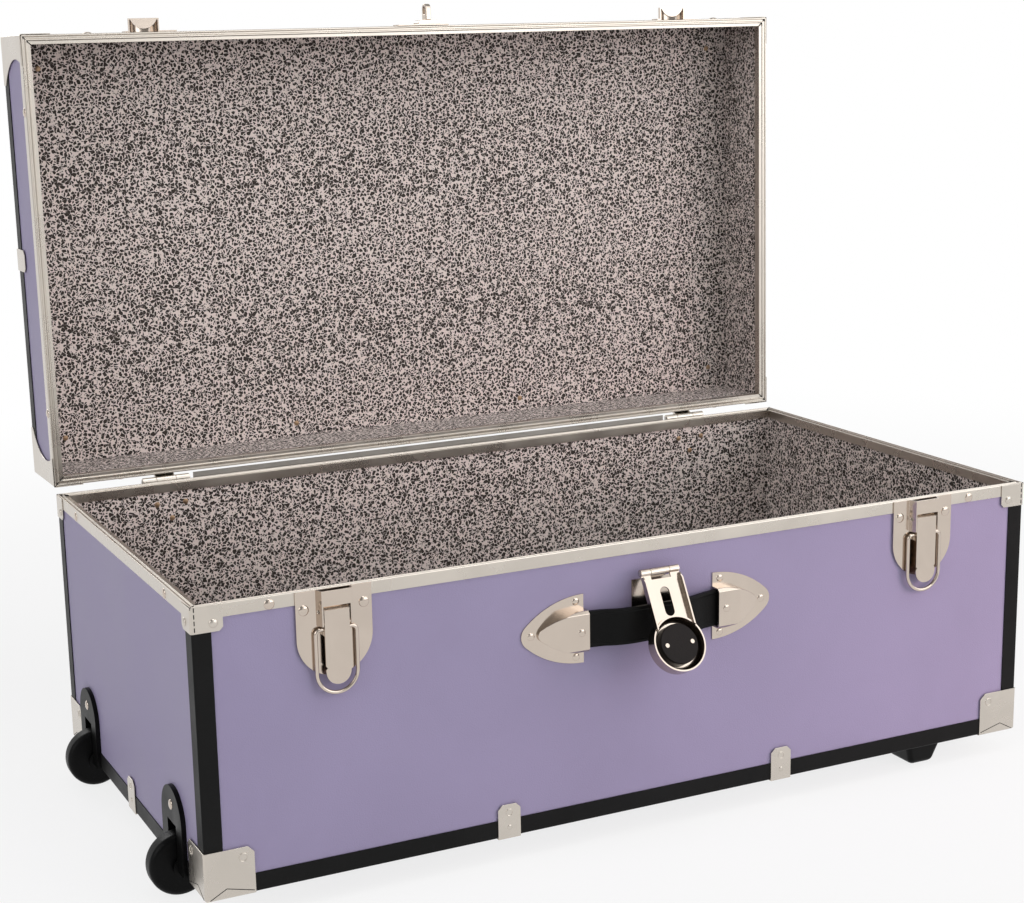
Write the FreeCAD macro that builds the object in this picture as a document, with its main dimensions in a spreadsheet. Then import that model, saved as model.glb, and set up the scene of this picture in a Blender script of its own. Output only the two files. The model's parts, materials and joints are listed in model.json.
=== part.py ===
"""Rolling trunk: lidded box on two wheels and two glides, drawn in millimetres.

Origin on the floor under the middle of the box, X to the right, Y to the back, Z up.
The lid pieces are drawn closed and then swung open about the rear hinge axis.
"""
import FreeCAD, Part
import math
import os
import Sketcher
from FreeCAD import Placement, Rotation, Vector

doc = FreeCAD.newDocument("rolling_trunk")
sheet = doc.addObject("Spreadsheet::Sheet", "Sizes")

DRIVING_SIZES = {
    "trunk_width": 762.0, "trunk_depth": 398.0, "base_height": 229.0, "lid_height": 77.0,
    "ground_clearance": 21.5, "wall": 6.0, "lining_gauge": 0.6, "trim_gauge": 0.9,
    "trim_leg": 15.0, "trim_round": 1.5, "cap_gauge": 0.9, "mitre_reach": 20.0,
    "rim_drop_outer": 10.5, "rim_drop_inner": 9.0, "rim_bead": 1.0, "rim_second_bead": 3.4,
    "fit_gap": 0.05, "lid_gap": 0.5, "lid_open_angle": 91.2, "overcut": 1.0, "edge_relief": 0.5,
    "cap_length": 40.0, "cap_height": 39.0, "cap_corner": 5.0, "cap_edge": 1.5,
    "rim_plate_long": 25.0, "rim_plate_short": 21.0, "rim_plate_drop": 20.5, "rim_plate_corner": 3.0,
    "lid_corner_reach": 44.0, "lid_corner_rim_leg": 28.0, "lid_corner_scoop": 55.0,
    "lid_corner_edge": 7.0, "lid_corner_round": 10.0,
    "clamp_width": 20.0, "clamp_height": 29.0, "clamp_foot": 15.0, "clamp_round": 4.0,
    "clamp_spread": 129.0, "rivet_base": 4.2, "rivet_rise": 1.8,
    "latch_rivet_gap": 19.5, "hinge_rivet_gap": 18.5, "rim_rivet_inset": 66.0, "rim_rivet_drop": 6.5,
    "latch_inset": 110.0, "latch_plate_half": 30.5, "latch_plate_gauge": 1.2,
    "latch_plate_straight": 38.0, "latch_rivet_half": 24.0, "latch_rivet_drop": 15.0,
    "bracket_half": 14.5, "bracket_front_half": 12.0, "bracket_rise": 8.0, "bracket_drop": 28.0,
    "bracket_sheet": 1.2, "bracket_window": 12.5, "latch_pin_out": 4.0, "latch_pin_drop": 17.0,
    "latch_pin_radius": 1.5, "latch_pin_proud": 0.6, "lever_half": 10.0, "lever_gauge": 1.2,
    "lever_back": 5.8, "lever_end_drop": 74.0, "lever_knuckle": 2.6, "lever_ear_low": 5.0,
    "lever_ear_high": 8.0, "lever_notch": 1.3, "lever_notch_up": 13.5,
    "bail_radius": 1.6, "bail_half": 16.4, "bail_pivot_drop": 31.0, "bail_pivot_out": 3.7,
    "bail_bend": 4.0, "bail_end_drop": 81.4, "bail_stub": 7.6, "running_fit": 0.06,
    "catch_gap": 0.8, "catch_rise": 12.0, "catch_sheet": 1.2,
    "catch_foot": 16.0, "catch_short_foot": 3.0, "catch_tongue": 7.8,
    "lock_shift": 4.0, "hasp_pin_out": 9.0, "hasp_pin_drop": 25.0, "hasp_pin_radius": 1.5,
    "hasp_pin_proud": 0.5, "hasp_knuckle": 3.0, "hasp_half": 17.5, "hasp_sheet": 1.3,
    "hasp_flange": 5.0, "hasp_flange_start": 4.0, "hasp_neck": 12.0, "hasp_knuckle_window": 6.5,
    "hasp_dish_centre": 61.0, "hasp_dish_radius": 22.8, "hasp_dish_floor": 8.0,
    "hasp_dish_lip": 3.0, "hasp_tilt": 30.0, "hasp_slot_half": 4.2, "hasp_slot_top": 17.7,
    "hasp_slot_bottom": 33.6, "hasp_disc_radius": 16.5, "hasp_disc_front": 2.0,
    "disc_rivet_half": 11.5, "disc_rivet_radius": 1.8, "disc_rivet_rise": 0.8,
    "hasp_leaf_half": 20.0, "hasp_leaf_top": 7.0, "hasp_leaf_low": 34.0, "hasp_leaf_knuckle": 8.5,
    "knuckle_gap": 0.4, "clearance": 0.3,
    "staple_half": 2.7, "staple_start": 1.2, "staple_length": 9.5, "staple_rise": 20.0,
    "staple_eye": 2.2, "staple_eye_back": 5.6, "staple_boss_half": 11.0, "staple_boss_rise": 5.0,
    "staple_boss_tall": 6.0, "staple_boss_round": 3.0, "staple_plate_left": 32.0,
    "staple_plate_right": 20.0, "staple_plate_tall": 6.5, "staple_plate_gauge": 1.2,
    "handle_drop": 65.5, "loop_mouth": 60.0, "loop_tip": 115.5, "loop_half": 28.5,
    "loop_sheet": 1.0, "loop_side_round": 76.0, "loop_tip_round": 11.0, "loop_shoulder": 3.5,
    "loop_shoulder_half": 8.0, "loop_rivet_mouth": 7.0, "loop_rivet_side": 5.5, "loop_rivet_tip": 8.5,
    "loop_rivet_base": 3.2, "loop_rivet_rise": 1.4,
    "dome_half": 17.0, "dome_rise": 10.6, "dome_end": 101.5, "dome_straight": 7.0,
    "dome_side_round": 60.0, "dome_tip_round": 7.0, "dome_shoulder": 3.0, "dome_shoulder_half": 5.0,
    "dome_slope_start": 20.5, "dome_slope_end": 2.2, "dome_bevel": 2.4,
    "strap_half": 15.0, "strap_gauge": 4.0, "strap_back": 2.2, "strap_bow": 8.0, "strap_slide": 1.8,
    "strap_end": 64.0, "strap_curve_outer": 62.0, "strap_curve_inner": 20.0, "strap_nose": 3.0,
    "strap_side_gap": 0.7, "strap_top_gap": 0.5, "strap_nose_gap": 1.5,
    "wheel_radius": 25.4, "wheel_width": 18.0, "wheel_inset": 72.0, "wheel_offset": 1.0,
    "axle_radius": 3.0, "well_half": 11.0, "well_wall": 2.0,
    "well_height": 38.0, "well_reach": 32.0, "ear_radius": 8.0, "ear_gap": 3.0, "boot_half": 26.0,
    "boot_height": 67.0, "boot_proud": 3.0, "boot_rivet_up": 52.0,
    "glide_end_inset": 91.5, "glide_side_inset": 29.0, "glide_top_half": 19.0,
    "glide_foot_half": 12.0, "glide_top_deep": 20.0, "glide_foot_deep": 16.0,
    "hinge_inset": 102.5, "hinge_half": 22.0, "hinge_setback": 5.2, "hinge_knuckle": 3.4,
    "hinge_leaf_start": 8.0, "hinge_leaf_drop": 30.0, "hinge_sheet": 1.2, "hinge_pin_radius": 1.5,
    "hinge_pin_proud": 1.0, "hinge_middle_half": 9.0,
    "strip_gap": 4.0, "strip_sheet": 0.8, "strip_leg": 10.0, "strip_bend": 6.0, "strip_knee": 2.0,
    "strip_rise": 4.0, "strip_setback": 1.2,
}


class Size:
    """A number together with the spreadsheet formula that it comes from."""

    def __init__(self, value, text):
        self.value, self.text = value, text

    def __add__(self, other):
        return joined(self, "+", other)

    def __radd__(self, other):
        return joined(other, "+", self)

    def __sub__(self, other):
        return joined(self, "-", other)

    def __rsub__(self, other):
        return joined(other, "-", self)

    def __mul__(self, other):
        return joined(self, "*", other)

    __rmul__ = __mul__

    def __truediv__(self, other):
        return joined(self, "/", other)

    def __neg__(self):
        return joined(0, "-", self)


def as_size(number):
    return number if isinstance(number, Size) else Size(float(number), "(%r)" % float(number))


def joined(a, sign, b):
    a, b = as_size(a), as_size(b)
    value = {"+": a.value + b.value, "-": a.value - b.value, "*": a.value * b.value,
             "/": a.value / b.value if sign == "/" else 0.0}[sign]
    return Size(value, "(%s %s %s)" % (a.text, sign, b.text))


def sine(angle):
    return Size(math.sin(math.radians(angle.value)), "sin(%s)" % angle.text)


def cosine(angle):
    return Size(math.cos(math.radians(angle.value)), "cos(%s)" % angle.text)


class Namespace:
    pass


d = Namespace()
for row, (alias, number) in enumerate(DRIVING_SIZES.items(), start=1):
    sheet.set("A%d" % row, alias)
    sheet.set("B%d" % row, str(number))
    sheet.setAlias("B%d" % row, alias)
    setattr(d, alias, Size(number, "Sizes.%s" % alias))
doc.recompute()


def bind(thing, name, size):
    thing.setExpression(name, as_size(size).text)


# Sketch planes: role, and the sign that turns a world coordinate into the plane's offset
PLANES = {"XY": ("XY_Plane", 1), "XZ": ("XZ_Plane", -1), "YZ": ("YZ_Plane", 1)}


def new_sketch(piece, plane, level, middle=(0, 0)):
    role, sign = PLANES[plane]
    sketch = piece.newObject("Sketcher::SketchObject", "Outline")
    support = next(f for f in piece.Origin.OriginFeatures if f.Role == role)
    sketch.AttachmentSupport = [(support, "")]
    sketch.MapMode = "FlatFace"
    bind(sketch, "AttachmentOffset.Base.x", middle[0])
    bind(sketch, "AttachmentOffset.Base.y", middle[1])
    bind(sketch, "AttachmentOffset.Base.z", as_size(level) * sign)
    return sketch


def constrain(sketch, kind, *where, size):
    index = sketch.addConstraint(Sketcher.Constraint(kind, *where, as_size(size).value))
    bind(sketch, "Constraints[%d]" % index, size)


def pin_point(sketch, geometry, end, x, y):
    constrain(sketch, "DistanceX", -1, 1, geometry, end, size=x)
    constrain(sketch, "DistanceY", -1, 1, geometry, end, size=y)


def arc_middle(p, q, radius):
    """Point halfway along the short arc from p to q; its centre is on the left if radius > 0."""
    chord = q - p
    left = Vector(-chord.y, chord.x, 0).normalize()
    reach = math.sqrt(max(radius ** 2 - (chord.Length / 2) ** 2, 0.0))
    side = 1 if radius > 0 else -1
    return (p + q) * 0.5 + left * side * (reach - abs(radius))


def draw(sketch, corners):
    """Chain of lines and arcs; a third number in a corner is the radius of the arc that leaves it."""
    count = len(corners)
    chain = []
    for i in range(count):
        a, b = corners[i], corners[(i + 1) % count]
        p, q = (Vector(as_size(c[0]).value, as_size(c[1]).value, 0) for c in (a, b))
        if len(a) == 2:
            chain.append((sketch.addGeometry(Part.LineSegment(p, q), False), 1))
            continue
        arc = Part.Arc(p, arc_middle(p, q, as_size(a[2]).value), q)
        index = sketch.addGeometry(arc, False)
        first = 1 if sketch.getPoint(index, 1).distanceToPoint(p) < 1e-6 else 2
        radius = a[2] if as_size(a[2]).value > 0 else -as_size(a[2])
        constrain(sketch, "Radius", index, size=radius)
        chain.append((index, first))
    for (geometry, first), corner in zip(chain, corners):
        pin_point(sketch, geometry, first, corner[0], corner[1])
    for (g, first), (h, start) in zip(chain, chain[1:] + chain[:1]):
        sketch.addConstraint(Sketcher.Constraint("Coincident", g, 3 - first, h, start))


def outline(piece, plane, level, loops, middle=(0, 0)):
    """Sketch of several loops; a loop is a list of corners, or a tuple (x, y, radius) for a circle."""
    sketch = new_sketch(piece, plane, level, middle)
    for loop in loops:
        if isinstance(loop, list):
            draw(sketch, loop)
            continue
        x, y, radius = (as_size(n) for n in loop)
        circle = Part.Circle(Vector(x.value, y.value, 0), Vector(0, 0, 1), radius.value)
        index = sketch.addGeometry(circle, False)
        pin_point(sketch, index, 3, x, y)
        constrain(sketch, "Radius", index, size=radius)
    return sketch


def new_piece(label):
    piece = doc.addObject("PartDesign::Body", label)
    piece.Label = label
    piece.AllowCompound = True
    return piece


def pad(piece, plane, level, length, *loops):
    """Solid from the plane at this world level, along the plane's own normal (XZ goes to the front)."""
    feature = piece.newObject("PartDesign::Pad", "Pad")
    feature.Profile = outline(piece, plane, level, loops)
    bind(feature, "Length", length)


def cut(piece, plane, level, length, *loops, against=False):
    feature = piece.newObject("PartDesign::Pocket", "Cut")
    feature.Profile = outline(piece, plane, level, loops)
    feature.Reversed = not against
    bind(feature, "Length", length)


def turn(piece, plane, level, middle, axis, loop, angle=360, back=False):
    feature = piece.newObject("PartDesign::Revolution", "Turned")
    sketch = outline(piece, plane, level, [loop], middle)
    feature.Profile = sketch
    feature.ReferenceAxis = (sketch, [axis])
    feature.Angle = angle
    feature.Reversed = back


def rectangle(u, v):
    return [(u[0], v[0]), (u[1], v[0]), (u[1], v[1]), (u[0], v[1])]


def pin_shape(x, y, radius):
    """Twelve-sided section of a pin or knuckle, with its corners on the real circle."""
    steps = [math.radians(30 * i) for i in range(12)]
    return [(x + radius * math.cos(step), y + radius * math.sin(step)) for step in steps]


def bore_shape(x, y, radius):
    """Twelve-sided hole whose flats lie on the real circle, so that a pin turns freely in it."""
    return pin_shape(x, y, radius / math.cos(math.radians(15)))


def around(middle, half):
    return (middle - half, middle + half)


def ordered(a, b):
    return (a, b) if as_size(a).value < as_size(b).value else (b, a)


def block(piece, x, y, z):
    low, high = ordered(*z)
    pad(piece, "XY", low, high - low, rectangle(x, y))


def clear(piece, x, y, z):
    low, high = ordered(*z)
    cut(piece, "XY", low, high - low, rectangle(x, y))


def soften(piece, size, *patterns, kind="Fillet"):
    """Fillet or chamfer of the straight edges that lie at the given x, y, z, with None for any."""
    doc.recompute()
    last = piece.Tip
    names = []
    for index, edge in enumerate(last.Shape.Edges, start=1):
        ends = [v.Point for v in edge.Vertexes]
        for pattern in patterns:
            wanted = [None if n is None else as_size(n).value for n in pattern]
            if len(ends) == 2 and all(n is None or all(abs(end[k] - n) < 1e-4 for end in ends)
                                      for k, n in enumerate(wanted)):
                names.append("Edge%d" % index)
    feature = piece.newObject("PartDesign::" + kind, "Soft")
    feature.Base = (last, names)
    bind(feature, "Radius" if kind == "Fillet" else "Size", size)


X_AXIS, Y_AXIS = Vector(1, 0, 0), Vector(0, 1, 0)


def mirrored(source, axis, label="Mirrored"):
    copy = doc.addObject("Part::Mirroring", label)
    copy.Source = source
    copy.Normal = axis
    copy.Base = Vector(0, 0, 0)
    return copy


def with_mirror(pieces, axis):
    return pieces + [mirrored(piece, axis) for piece in pieces]


def group(label, members):
    whole = doc.addObject("Part::Compound", label)
    whole.Label = label
    whole.Links = members
    return whole


half_w, half_d = d.trunk_width / 2, d.trunk_depth / 2
z_low = d.ground_clearance
z_rim = z_low + d.base_height
z_lid = z_rim + d.lid_gap
z_top = z_lid + d.lid_height
face_x, face_y = half_w - d.trim_gauge, half_d - d.trim_gauge
in_x, in_y = face_x - d.wall, face_y - d.wall
skin_x, skin_y = in_x - d.lining_gauge, in_y - d.lining_gauge
lip_x, lip_y = skin_x - d.trim_gauge, skin_y - d.trim_gauge
hinge_x, hinge_y, hinge_z = half_w - d.hinge_inset, half_d + d.hinge_setback, z_rim
latch_x = half_w - d.latch_inset
wheel_reach = half_d - d.wheel_inset


def front(proud):
    """World y of a level that stands this far proud of the front edging."""
    return -half_d - proud


def swing(thing):
    """Turn a lid piece, drawn closed, to the open rest angle about the hinge axis."""
    thing.Placement = Placement(Vector(), Rotation(X_AXIS, -d.lid_open_angle.value))
    bind(thing, "Placement.Rotation.Angle", -d.lid_open_angle)
    c, s = cosine(d.lid_open_angle), sine(d.lid_open_angle)
    bind(thing, "Placement.Base.y", hinge_y - hinge_y * c - hinge_z * s)
    bind(thing, "Placement.Base.z", hinge_z + hinge_y * s - hinge_z * c)
    return thing


nodes = []


def keep(thing):
    nodes.append(thing)
    return thing


# Carcass of base and lid: panels, lining, rim, edging. up is -1 for the base and 1 for the lid.
def carcass(name, rim_z, up, depth, end_name):
    def z(inward):
        return rim_z + as_size(inward) * up

    shell_top = d.rim_bead + d.trim_gauge
    end_face = depth - d.trim_gauge
    end_inside = end_face - d.wall
    wide_x, wide_y = (-face_x, face_x), (-face_y, face_y)
    panels = {}
    for side, x, y, zs in (
            (end_name, wide_x, wide_y, (z(end_inside), z(end_face))),
            ("front", wide_x, (-face_y, -in_y), (z(shell_top), z(end_inside))),
            ("back", wide_x, (in_y, face_y), (z(shell_top), z(end_inside))),
            ("left", (-face_x, -in_x), (-in_y, in_y), (z(shell_top), z(end_inside))),
            ("right", (in_x, face_x), (-in_y, in_y), (z(shell_top), z(end_inside)))):
        panels[side] = keep(new_piece("%s_%s_panel" % (name, side)))
        block(panels[side], x, y, zs)

    lining = panels["lining"] = keep(new_piece("%s_lining" % name))
    block(lining, (-in_x, in_x), (-in_y, in_y), (z(shell_top), z(end_inside)))
    clear(lining, (-skin_x, skin_x), (-skin_y, skin_y),
          (z(-d.overcut), z(end_inside - d.lining_gauge)))

    def rim_profile(outer, inner):
        bead, second, g = d.rim_bead, d.rim_second_bead, d.trim_gauge - d.fit_gap
        flank = bead / 2
        return [(-outer, z(d.rim_drop_outer)), (-outer, z(bead)), (-outer + flank, z(0)),
                (-outer + bead * 2 - flank, z(0)), (-outer + bead * 2, z(bead)),
                (-outer + second, z(bead)), (-outer + second + flank, z(0)),
                (-outer + second + bead * 2 - flank, z(0)), (-outer + second + bead * 2, z(bead)),
                (-inner, z(bead)),
                (-inner, z(d.rim_drop_inner)), (-inner - g, z(d.rim_drop_inner)),
                (-inner - g, z(bead + g)), (-outer + g, z(bead + g)),
                (-outer + g, z(d.rim_drop_outer))]

    def edge_profile(outer):
        g, leg, r = d.trim_gauge - d.fit_gap, d.trim_leg, d.trim_round
        return [(-outer + r, z(depth), r * up), (-outer, z(depth - r)), (-outer, z(depth - leg)),
                (-outer + g, z(depth - leg)), (-outer + g, z(depth - g)),
                (-outer + leg, z(depth - g)), (-outer + leg, z(depth))]

    def mitre(piece, long_axis, zs):
        low, high = ordered(*zs)
        t = d.mitre_reach
        for sign in (-1, 1):
            if long_axis == "X":
                corners = [(half_w * sign, -half_d), (half_w * sign, -half_d + t),
                           ((half_w - t) * sign, -half_d + t)]
            else:
                corners = [(-half_w, half_d * sign), (-half_w + t, half_d * sign),
                           (-half_w + t, (half_d - t) * sign)]
            cut(piece, "XY", low - d.overcut, high - low + d.overcut * 2, corners)

    def frame(label, profile_x, profile_y, zs):
        long_piece = new_piece(label + "_front")
        pad(long_piece, "YZ", -half_w, d.trunk_width, profile_y)
        mitre(long_piece, "X", zs)
        short_piece = new_piece(label + "_left")
        pad(short_piece, "XZ", half_d, d.trunk_depth, profile_x)
        mitre(short_piece, "Y", zs)
        return long_piece, short_piece

    rim = frame(name + "_rim", rim_profile(half_w, lip_x), rim_profile(half_d, lip_y),
                (z(0), z(d.rim_drop_outer)))
    edging = frame(name + "_edge", edge_profile(half_w), edge_profile(half_d),
                   (z(depth), z(depth - d.trim_leg)))
    return panels, rim, edging, z


def four_sides(label, front_piece, left_piece):
    members = with_mirror([front_piece], Y_AXIS)
    members += with_mirror([left_piece], X_AXIS)
    return keep(group(label, members))


def four_corners(label, corner):
    return keep(group(label, with_mirror(with_mirror([corner], X_AXIS), Y_AXIS)))


base, base_rim, base_edge, base_z = carcass("base", z_rim, -1, d.base_height, "bottom")

# Wheel wells notch the bottom panel, the left panel and the lining
axle_x, axle_z = -half_w + d.wheel_offset, d.wheel_radius
well_in = -half_w + d.well_reach
well_side = d.well_half + d.well_wall
well_top = z_low + d.well_height + d.well_wall
head_room = well_side + d.ear_gap
head_in = axle_x + d.ear_radius + d.ear_gap
for sign in (-1, 1):
    wheel_y = wheel_reach * sign
    bottom_z = (z_low, z_low + d.trim_gauge + d.wall)
    clear(base["bottom"], (-half_w, well_in), around(wheel_y, well_side), bottom_z)
    clear(base["bottom"], (-half_w, head_in), around(wheel_y, head_room), bottom_z)
    clear(base["left"], (-half_w, -in_x), around(wheel_y, well_side), (z_low, well_top))
    clear(base["left"], (-half_w, -in_x), around(wheel_y, head_room),
          (z_low, axle_z + d.ear_radius))
    clear(base["lining"], (-half_w, well_in), around(wheel_y, well_side), (z_low, well_top))

four_sides("base_rim", *base_rim)
base_left_edge = base_edge[1]
left_edge_copy = mirrored(base_left_edge, X_AXIS)
notched_edge = doc.addObject("Part::Cut", "base_left_edging")
boot_gaps = []
for sign in (-1, 1):
    gap = doc.addObject("Part::Box", "boot_gap")
    bind(gap, "Length", d.trim_leg + d.overcut * 2)
    bind(gap, "Width", d.boot_half * 2)
    bind(gap, "Height", d.trim_leg + d.overcut * 2)
    bind(gap, "Placement.Base.x", -half_w - d.overcut)
    bind(gap, "Placement.Base.y", wheel_reach * sign - d.boot_half)
    bind(gap, "Placement.Base.z", z_low - d.overcut)
    boot_gaps.append(gap)
notched_edge.Base = base_left_edge
notched_edge.Tool = group("boot_gaps", boot_gaps)
keep(group("base_bottom_edging", with_mirror([base_edge[0]], Y_AXIS)
           + [notched_edge, left_edge_copy]))

post = new_piece("base_corner_post")
post_x, post_y = -face_x - d.fit_gap, -face_y - d.fit_gap
pad(post, "XY", z_low + d.trim_leg, d.base_height - d.trim_leg - d.rim_drop_outer,
    [(-half_w + d.trim_round, -half_d), (-half_w + d.trim_leg, -half_d),
     (-half_w + d.trim_leg, post_y), (post_x, post_y), (post_x, -half_d + d.trim_leg),
     (-half_w, -half_d + d.trim_leg), (-half_w, -half_d + d.trim_round, d.trim_round)])
four_corners("base_corner_posts", post)


# Pressed metal corner caps, rim plates and edge clamps
cap_x, cap_y = -half_w - d.cap_gauge, -half_d - d.cap_gauge
cap = new_piece("base_corner_cap")
cap_z = z_low - d.cap_gauge
block(cap, (cap_x, cap_x + d.cap_length), (cap_y, cap_y + d.cap_length),
      (cap_z, cap_z + d.cap_height))
clear(cap, (-half_w, cap_x + d.cap_length + d.overcut), (-half_d, cap_y + d.cap_length + d.overcut),
      (z_low, cap_z + d.cap_height + d.overcut))
soften(cap, d.cap_corner, (cap_x + d.cap_length, cap_y + d.cap_length, None),
       (cap_x + d.cap_length, None, cap_z + d.cap_height),
       (None, cap_y + d.cap_length, cap_z + d.cap_height), kind="Chamfer")
soften(cap, d.cap_edge, (cap_x, cap_y, None), (cap_x, None, cap_z), (None, cap_y, cap_z),
       kind="Chamfer")
four_corners("base_corner_caps", cap)

plate = new_piece("base_rim_plate")
plate_low = z_rim - d.rim_plate_drop
pad(plate, "XY", plate_low, d.rim_plate_drop - d.edge_relief,
    [(cap_x, cap_y), (cap_x + d.rim_plate_long, cap_y), (cap_x + d.rim_plate_long, -half_d),
     (-half_w, -half_d), (-half_w, cap_y + d.rim_plate_short), (cap_x, cap_y + d.rim_plate_short)])
soften(plate, d.rim_plate_corner, (cap_x + d.rim_plate_long, None, plate_low),
       (None, cap_y + d.rim_plate_short, plate_low), kind="Chamfer")
soften(plate, d.cap_edge, (cap_x, cap_y, None), kind="Chamfer")
four_corners("base_rim_corners", plate)


def clamp_pieces(label, end_z, up):
    """Two clamps on the front edge and one on the left edge; up is 1 where the edge is the top."""
    def z(inward):
        return end_z - as_size(inward) * up

    tall, foot, c = d.clamp_height, d.clamp_foot, d.cap_gauge
    half = d.clamp_width / 2

    def profile(outer):
        return [(-outer - c, z(-c)), (-outer - c + foot, z(-c)), (-outer - c + foot, z(0)),
                (-outer, z(0)), (-outer, z(tall - c)), (-outer - c, z(tall - c))]

    on_front = new_piece(label + "_front")
    pad(on_front, "YZ", -d.clamp_spread - half, d.clamp_width, profile(half_d))
    soften(on_front, d.clamp_round, (-d.clamp_spread - half, None, z(tall - c)),
           (-d.clamp_spread + half, None, z(tall - c)), kind="Chamfer")
    on_left = new_piece(label + "_left")
    pad(on_left, "XZ", half, d.clamp_width, profile(half_w))
    soften(on_left, d.clamp_round, (None, -half, z(tall - c)), (None, half, z(tall - c)), kind="Chamfer")
    members = with_mirror(with_mirror([on_front], X_AXIS), Y_AXIS)
    return members + with_mirror([on_left], X_AXIS)


keep(group("base_edge_clamps", clamp_pieces("base_clamp", z_low, -1)))


# Rivet heads, each with its own place and outward direction
OUTWARD = {"front": (X_AXIS, 90), "back": (X_AXIS, -90), "left": (Y_AXIS, -90), "right": (Y_AXIS, 90)}


def rivet(x, y, z, outward="front", base=d.rivet_base, rise=d.rivet_rise):
    head = doc.addObject("Part::Prism", "rivet")
    head.Polygon = 8
    bind(head, "Circumradius", base)
    bind(head, "Height", rise)
    head.Placement = Placement(Vector(), Rotation(*OUTWARD[outward]))
    for name, at in zip("xyz", (x, y, z)):
        bind(head, "Placement.Base.%s" % name, at)
    return head


def rim_rivets(z):
    """Rivets through a rim: beside the latches, beside the hinges, and two at each end."""
    heads = []
    for sign in (-1, 1):
        beside_latch = (latch_x + d.latch_plate_half + d.latch_rivet_gap) * sign
        beside_hinge = (hinge_x + d.hinge_half + d.hinge_rivet_gap) * sign
        along_end = (half_d - d.rim_rivet_inset) * sign
        heads += [rivet(beside_latch, -half_d, z, "front"), rivet(beside_hinge, half_d, z, "back"),
                  rivet(-half_w, along_end, z, "left"), rivet(half_w, along_end, z, "right")]
    return heads


base_rivets = rim_rivets(z_rim - d.rim_rivet_drop)
for sign in (-1, 1):
    for half in (-d.latch_rivet_half, d.latch_rivet_half):
        base_rivets.append(rivet(latch_x * sign + half, front(d.latch_plate_gauge),
                                 z_rim - d.latch_rivet_drop, "front"))
    base_rivets.append(rivet(-half_w - d.boot_proud, wheel_reach * sign, z_low + d.boot_rivet_up, "left"))
keep(group("base_rivets", base_rivets))


# Draw latches: plate with a bracket, pin, lever, and a wire bail hung in the lever's ears
bail_y, bail_z = front(d.bail_pivot_out), z_rim - d.bail_pivot_drop
bow_z = z_rim - d.bail_end_drop + d.bail_half


def wire_section(x, y, radius):
    """Four-sided stand-in for round wire, with the same area."""
    half = radius * (math.sqrt(math.pi) / 2)
    return rectangle(around(x, half), around(y, half))


def latch(side, x):
    r, g, over = d.latch_plate_half, d.latch_plate_gauge, d.overcut
    top, shoulder = z_rim - d.edge_relief, z_rim - d.latch_plate_straight
    plate = keep(new_piece("latch_plate_" + side))
    pad(plate, "XZ", -half_d, g,
        [(x - r, top), (x - r, shoulder, r), (x, shoulder - r, r), (x + r, shoulder), (x + r, top)])
    wall, rise, wide, narrow = d.bracket_sheet, d.bracket_rise, d.bracket_half, d.bracket_front_half
    low = z_rim - d.bracket_drop
    foot = wall * 1.15
    pad(plate, "XY", low, d.bracket_drop - d.edge_relief,
        [(x - wide, front(g)), (x - narrow, front(rise)), (x + narrow, front(rise)),
         (x + wide, front(g)), (x + wide - foot, front(g)),
         (x + narrow - wall, front(rise - wall)), (x - narrow + wall, front(rise - wall)),
         (x - wide + foot, front(g))])
    cut(plate, "XZ", front(rise - wall), wall + over,
        rectangle(around(x, narrow - wall), (low - over, z_rim - d.bracket_window)))
    pin_y, pin_z = front(d.latch_pin_out), z_rim - d.latch_pin_drop
    cut(plate, "YZ", x - wide, wide * 2, pin_shape(pin_y, pin_z, d.latch_pin_radius))

    pin = keep(new_piece("latch_pin_" + side))
    pin_half = d.bracket_front_half + d.latch_pin_proud
    pad(pin, "YZ", x - pin_half, pin_half * 2, pin_shape(pin_y, pin_z, d.latch_pin_radius))

    lever = keep(new_piece("latch_lever_" + side))
    half, gauge = d.lever_half, d.lever_gauge
    end, brow = z_rim - d.lever_end_drop, pin_z + d.lever_gauge
    notch, notch_z = d.lever_notch, z_rim - d.lever_end_drop + d.lever_notch_up
    pad(lever, "XZ", front(d.lever_back), gauge,
        [(x - half, brow), (x - half, notch_z + notch), (x - half + notch, notch_z),
         (x - half, notch_z - notch), (x - half, end + half, half), (x, end, half), (x + half, end + half),
         (x + half, notch_z - notch), (x + half - notch, notch_z), (x + half, notch_z + notch),
         (x + half, brow)])
    pad(lever, "YZ", x - half, half * 2, pin_shape(pin_y, pin_z, d.lever_knuckle))
    for edge in (x - half, x + half - gauge):
        pad(lever, "YZ", edge, gauge,
            rectangle((front(d.lever_back + gauge / 2), front(g + d.clearance)),
                      (bail_z - d.lever_ear_low, bail_z + d.lever_ear_high)))
    cut(lever, "YZ", x - half - over, half * 2 + over * 2,
        bore_shape(pin_y, pin_z, d.latch_pin_radius + d.running_fit),
        bore_shape(bail_y, bail_z, d.bail_radius + d.running_fit))

    bail = keep(new_piece("latch_bail_" + side))
    out, bend, wire = d.bail_half, d.bail_bend, d.bail_radius
    for sign in (-1, 1):
        leg_x, bend_x = x + out * sign, x + (out - bend) * sign
        pad(bail, "XY", bow_z, bail_z - bend - bow_z, wire_section(leg_x, bail_y, wire))
        turn(bail, "XY", bail_z - bend, (bend_x, bail_y), "V_Axis",
             wire_section(bend * sign, as_size(0), wire), angle=90, back=sign > 0)
        low_x, high_x = ordered(bend_x, x + d.bail_stub * sign)
        pad(bail, "YZ", low_x, high_x - low_x, pin_shape(bail_y, bail_z, wire))
    turn(bail, "XY", bow_z, (x, bail_y), "V_Axis", wire_section(out, as_size(0), wire), angle=180)


latch("left", -latch_x)
latch("right", latch_x)


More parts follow.
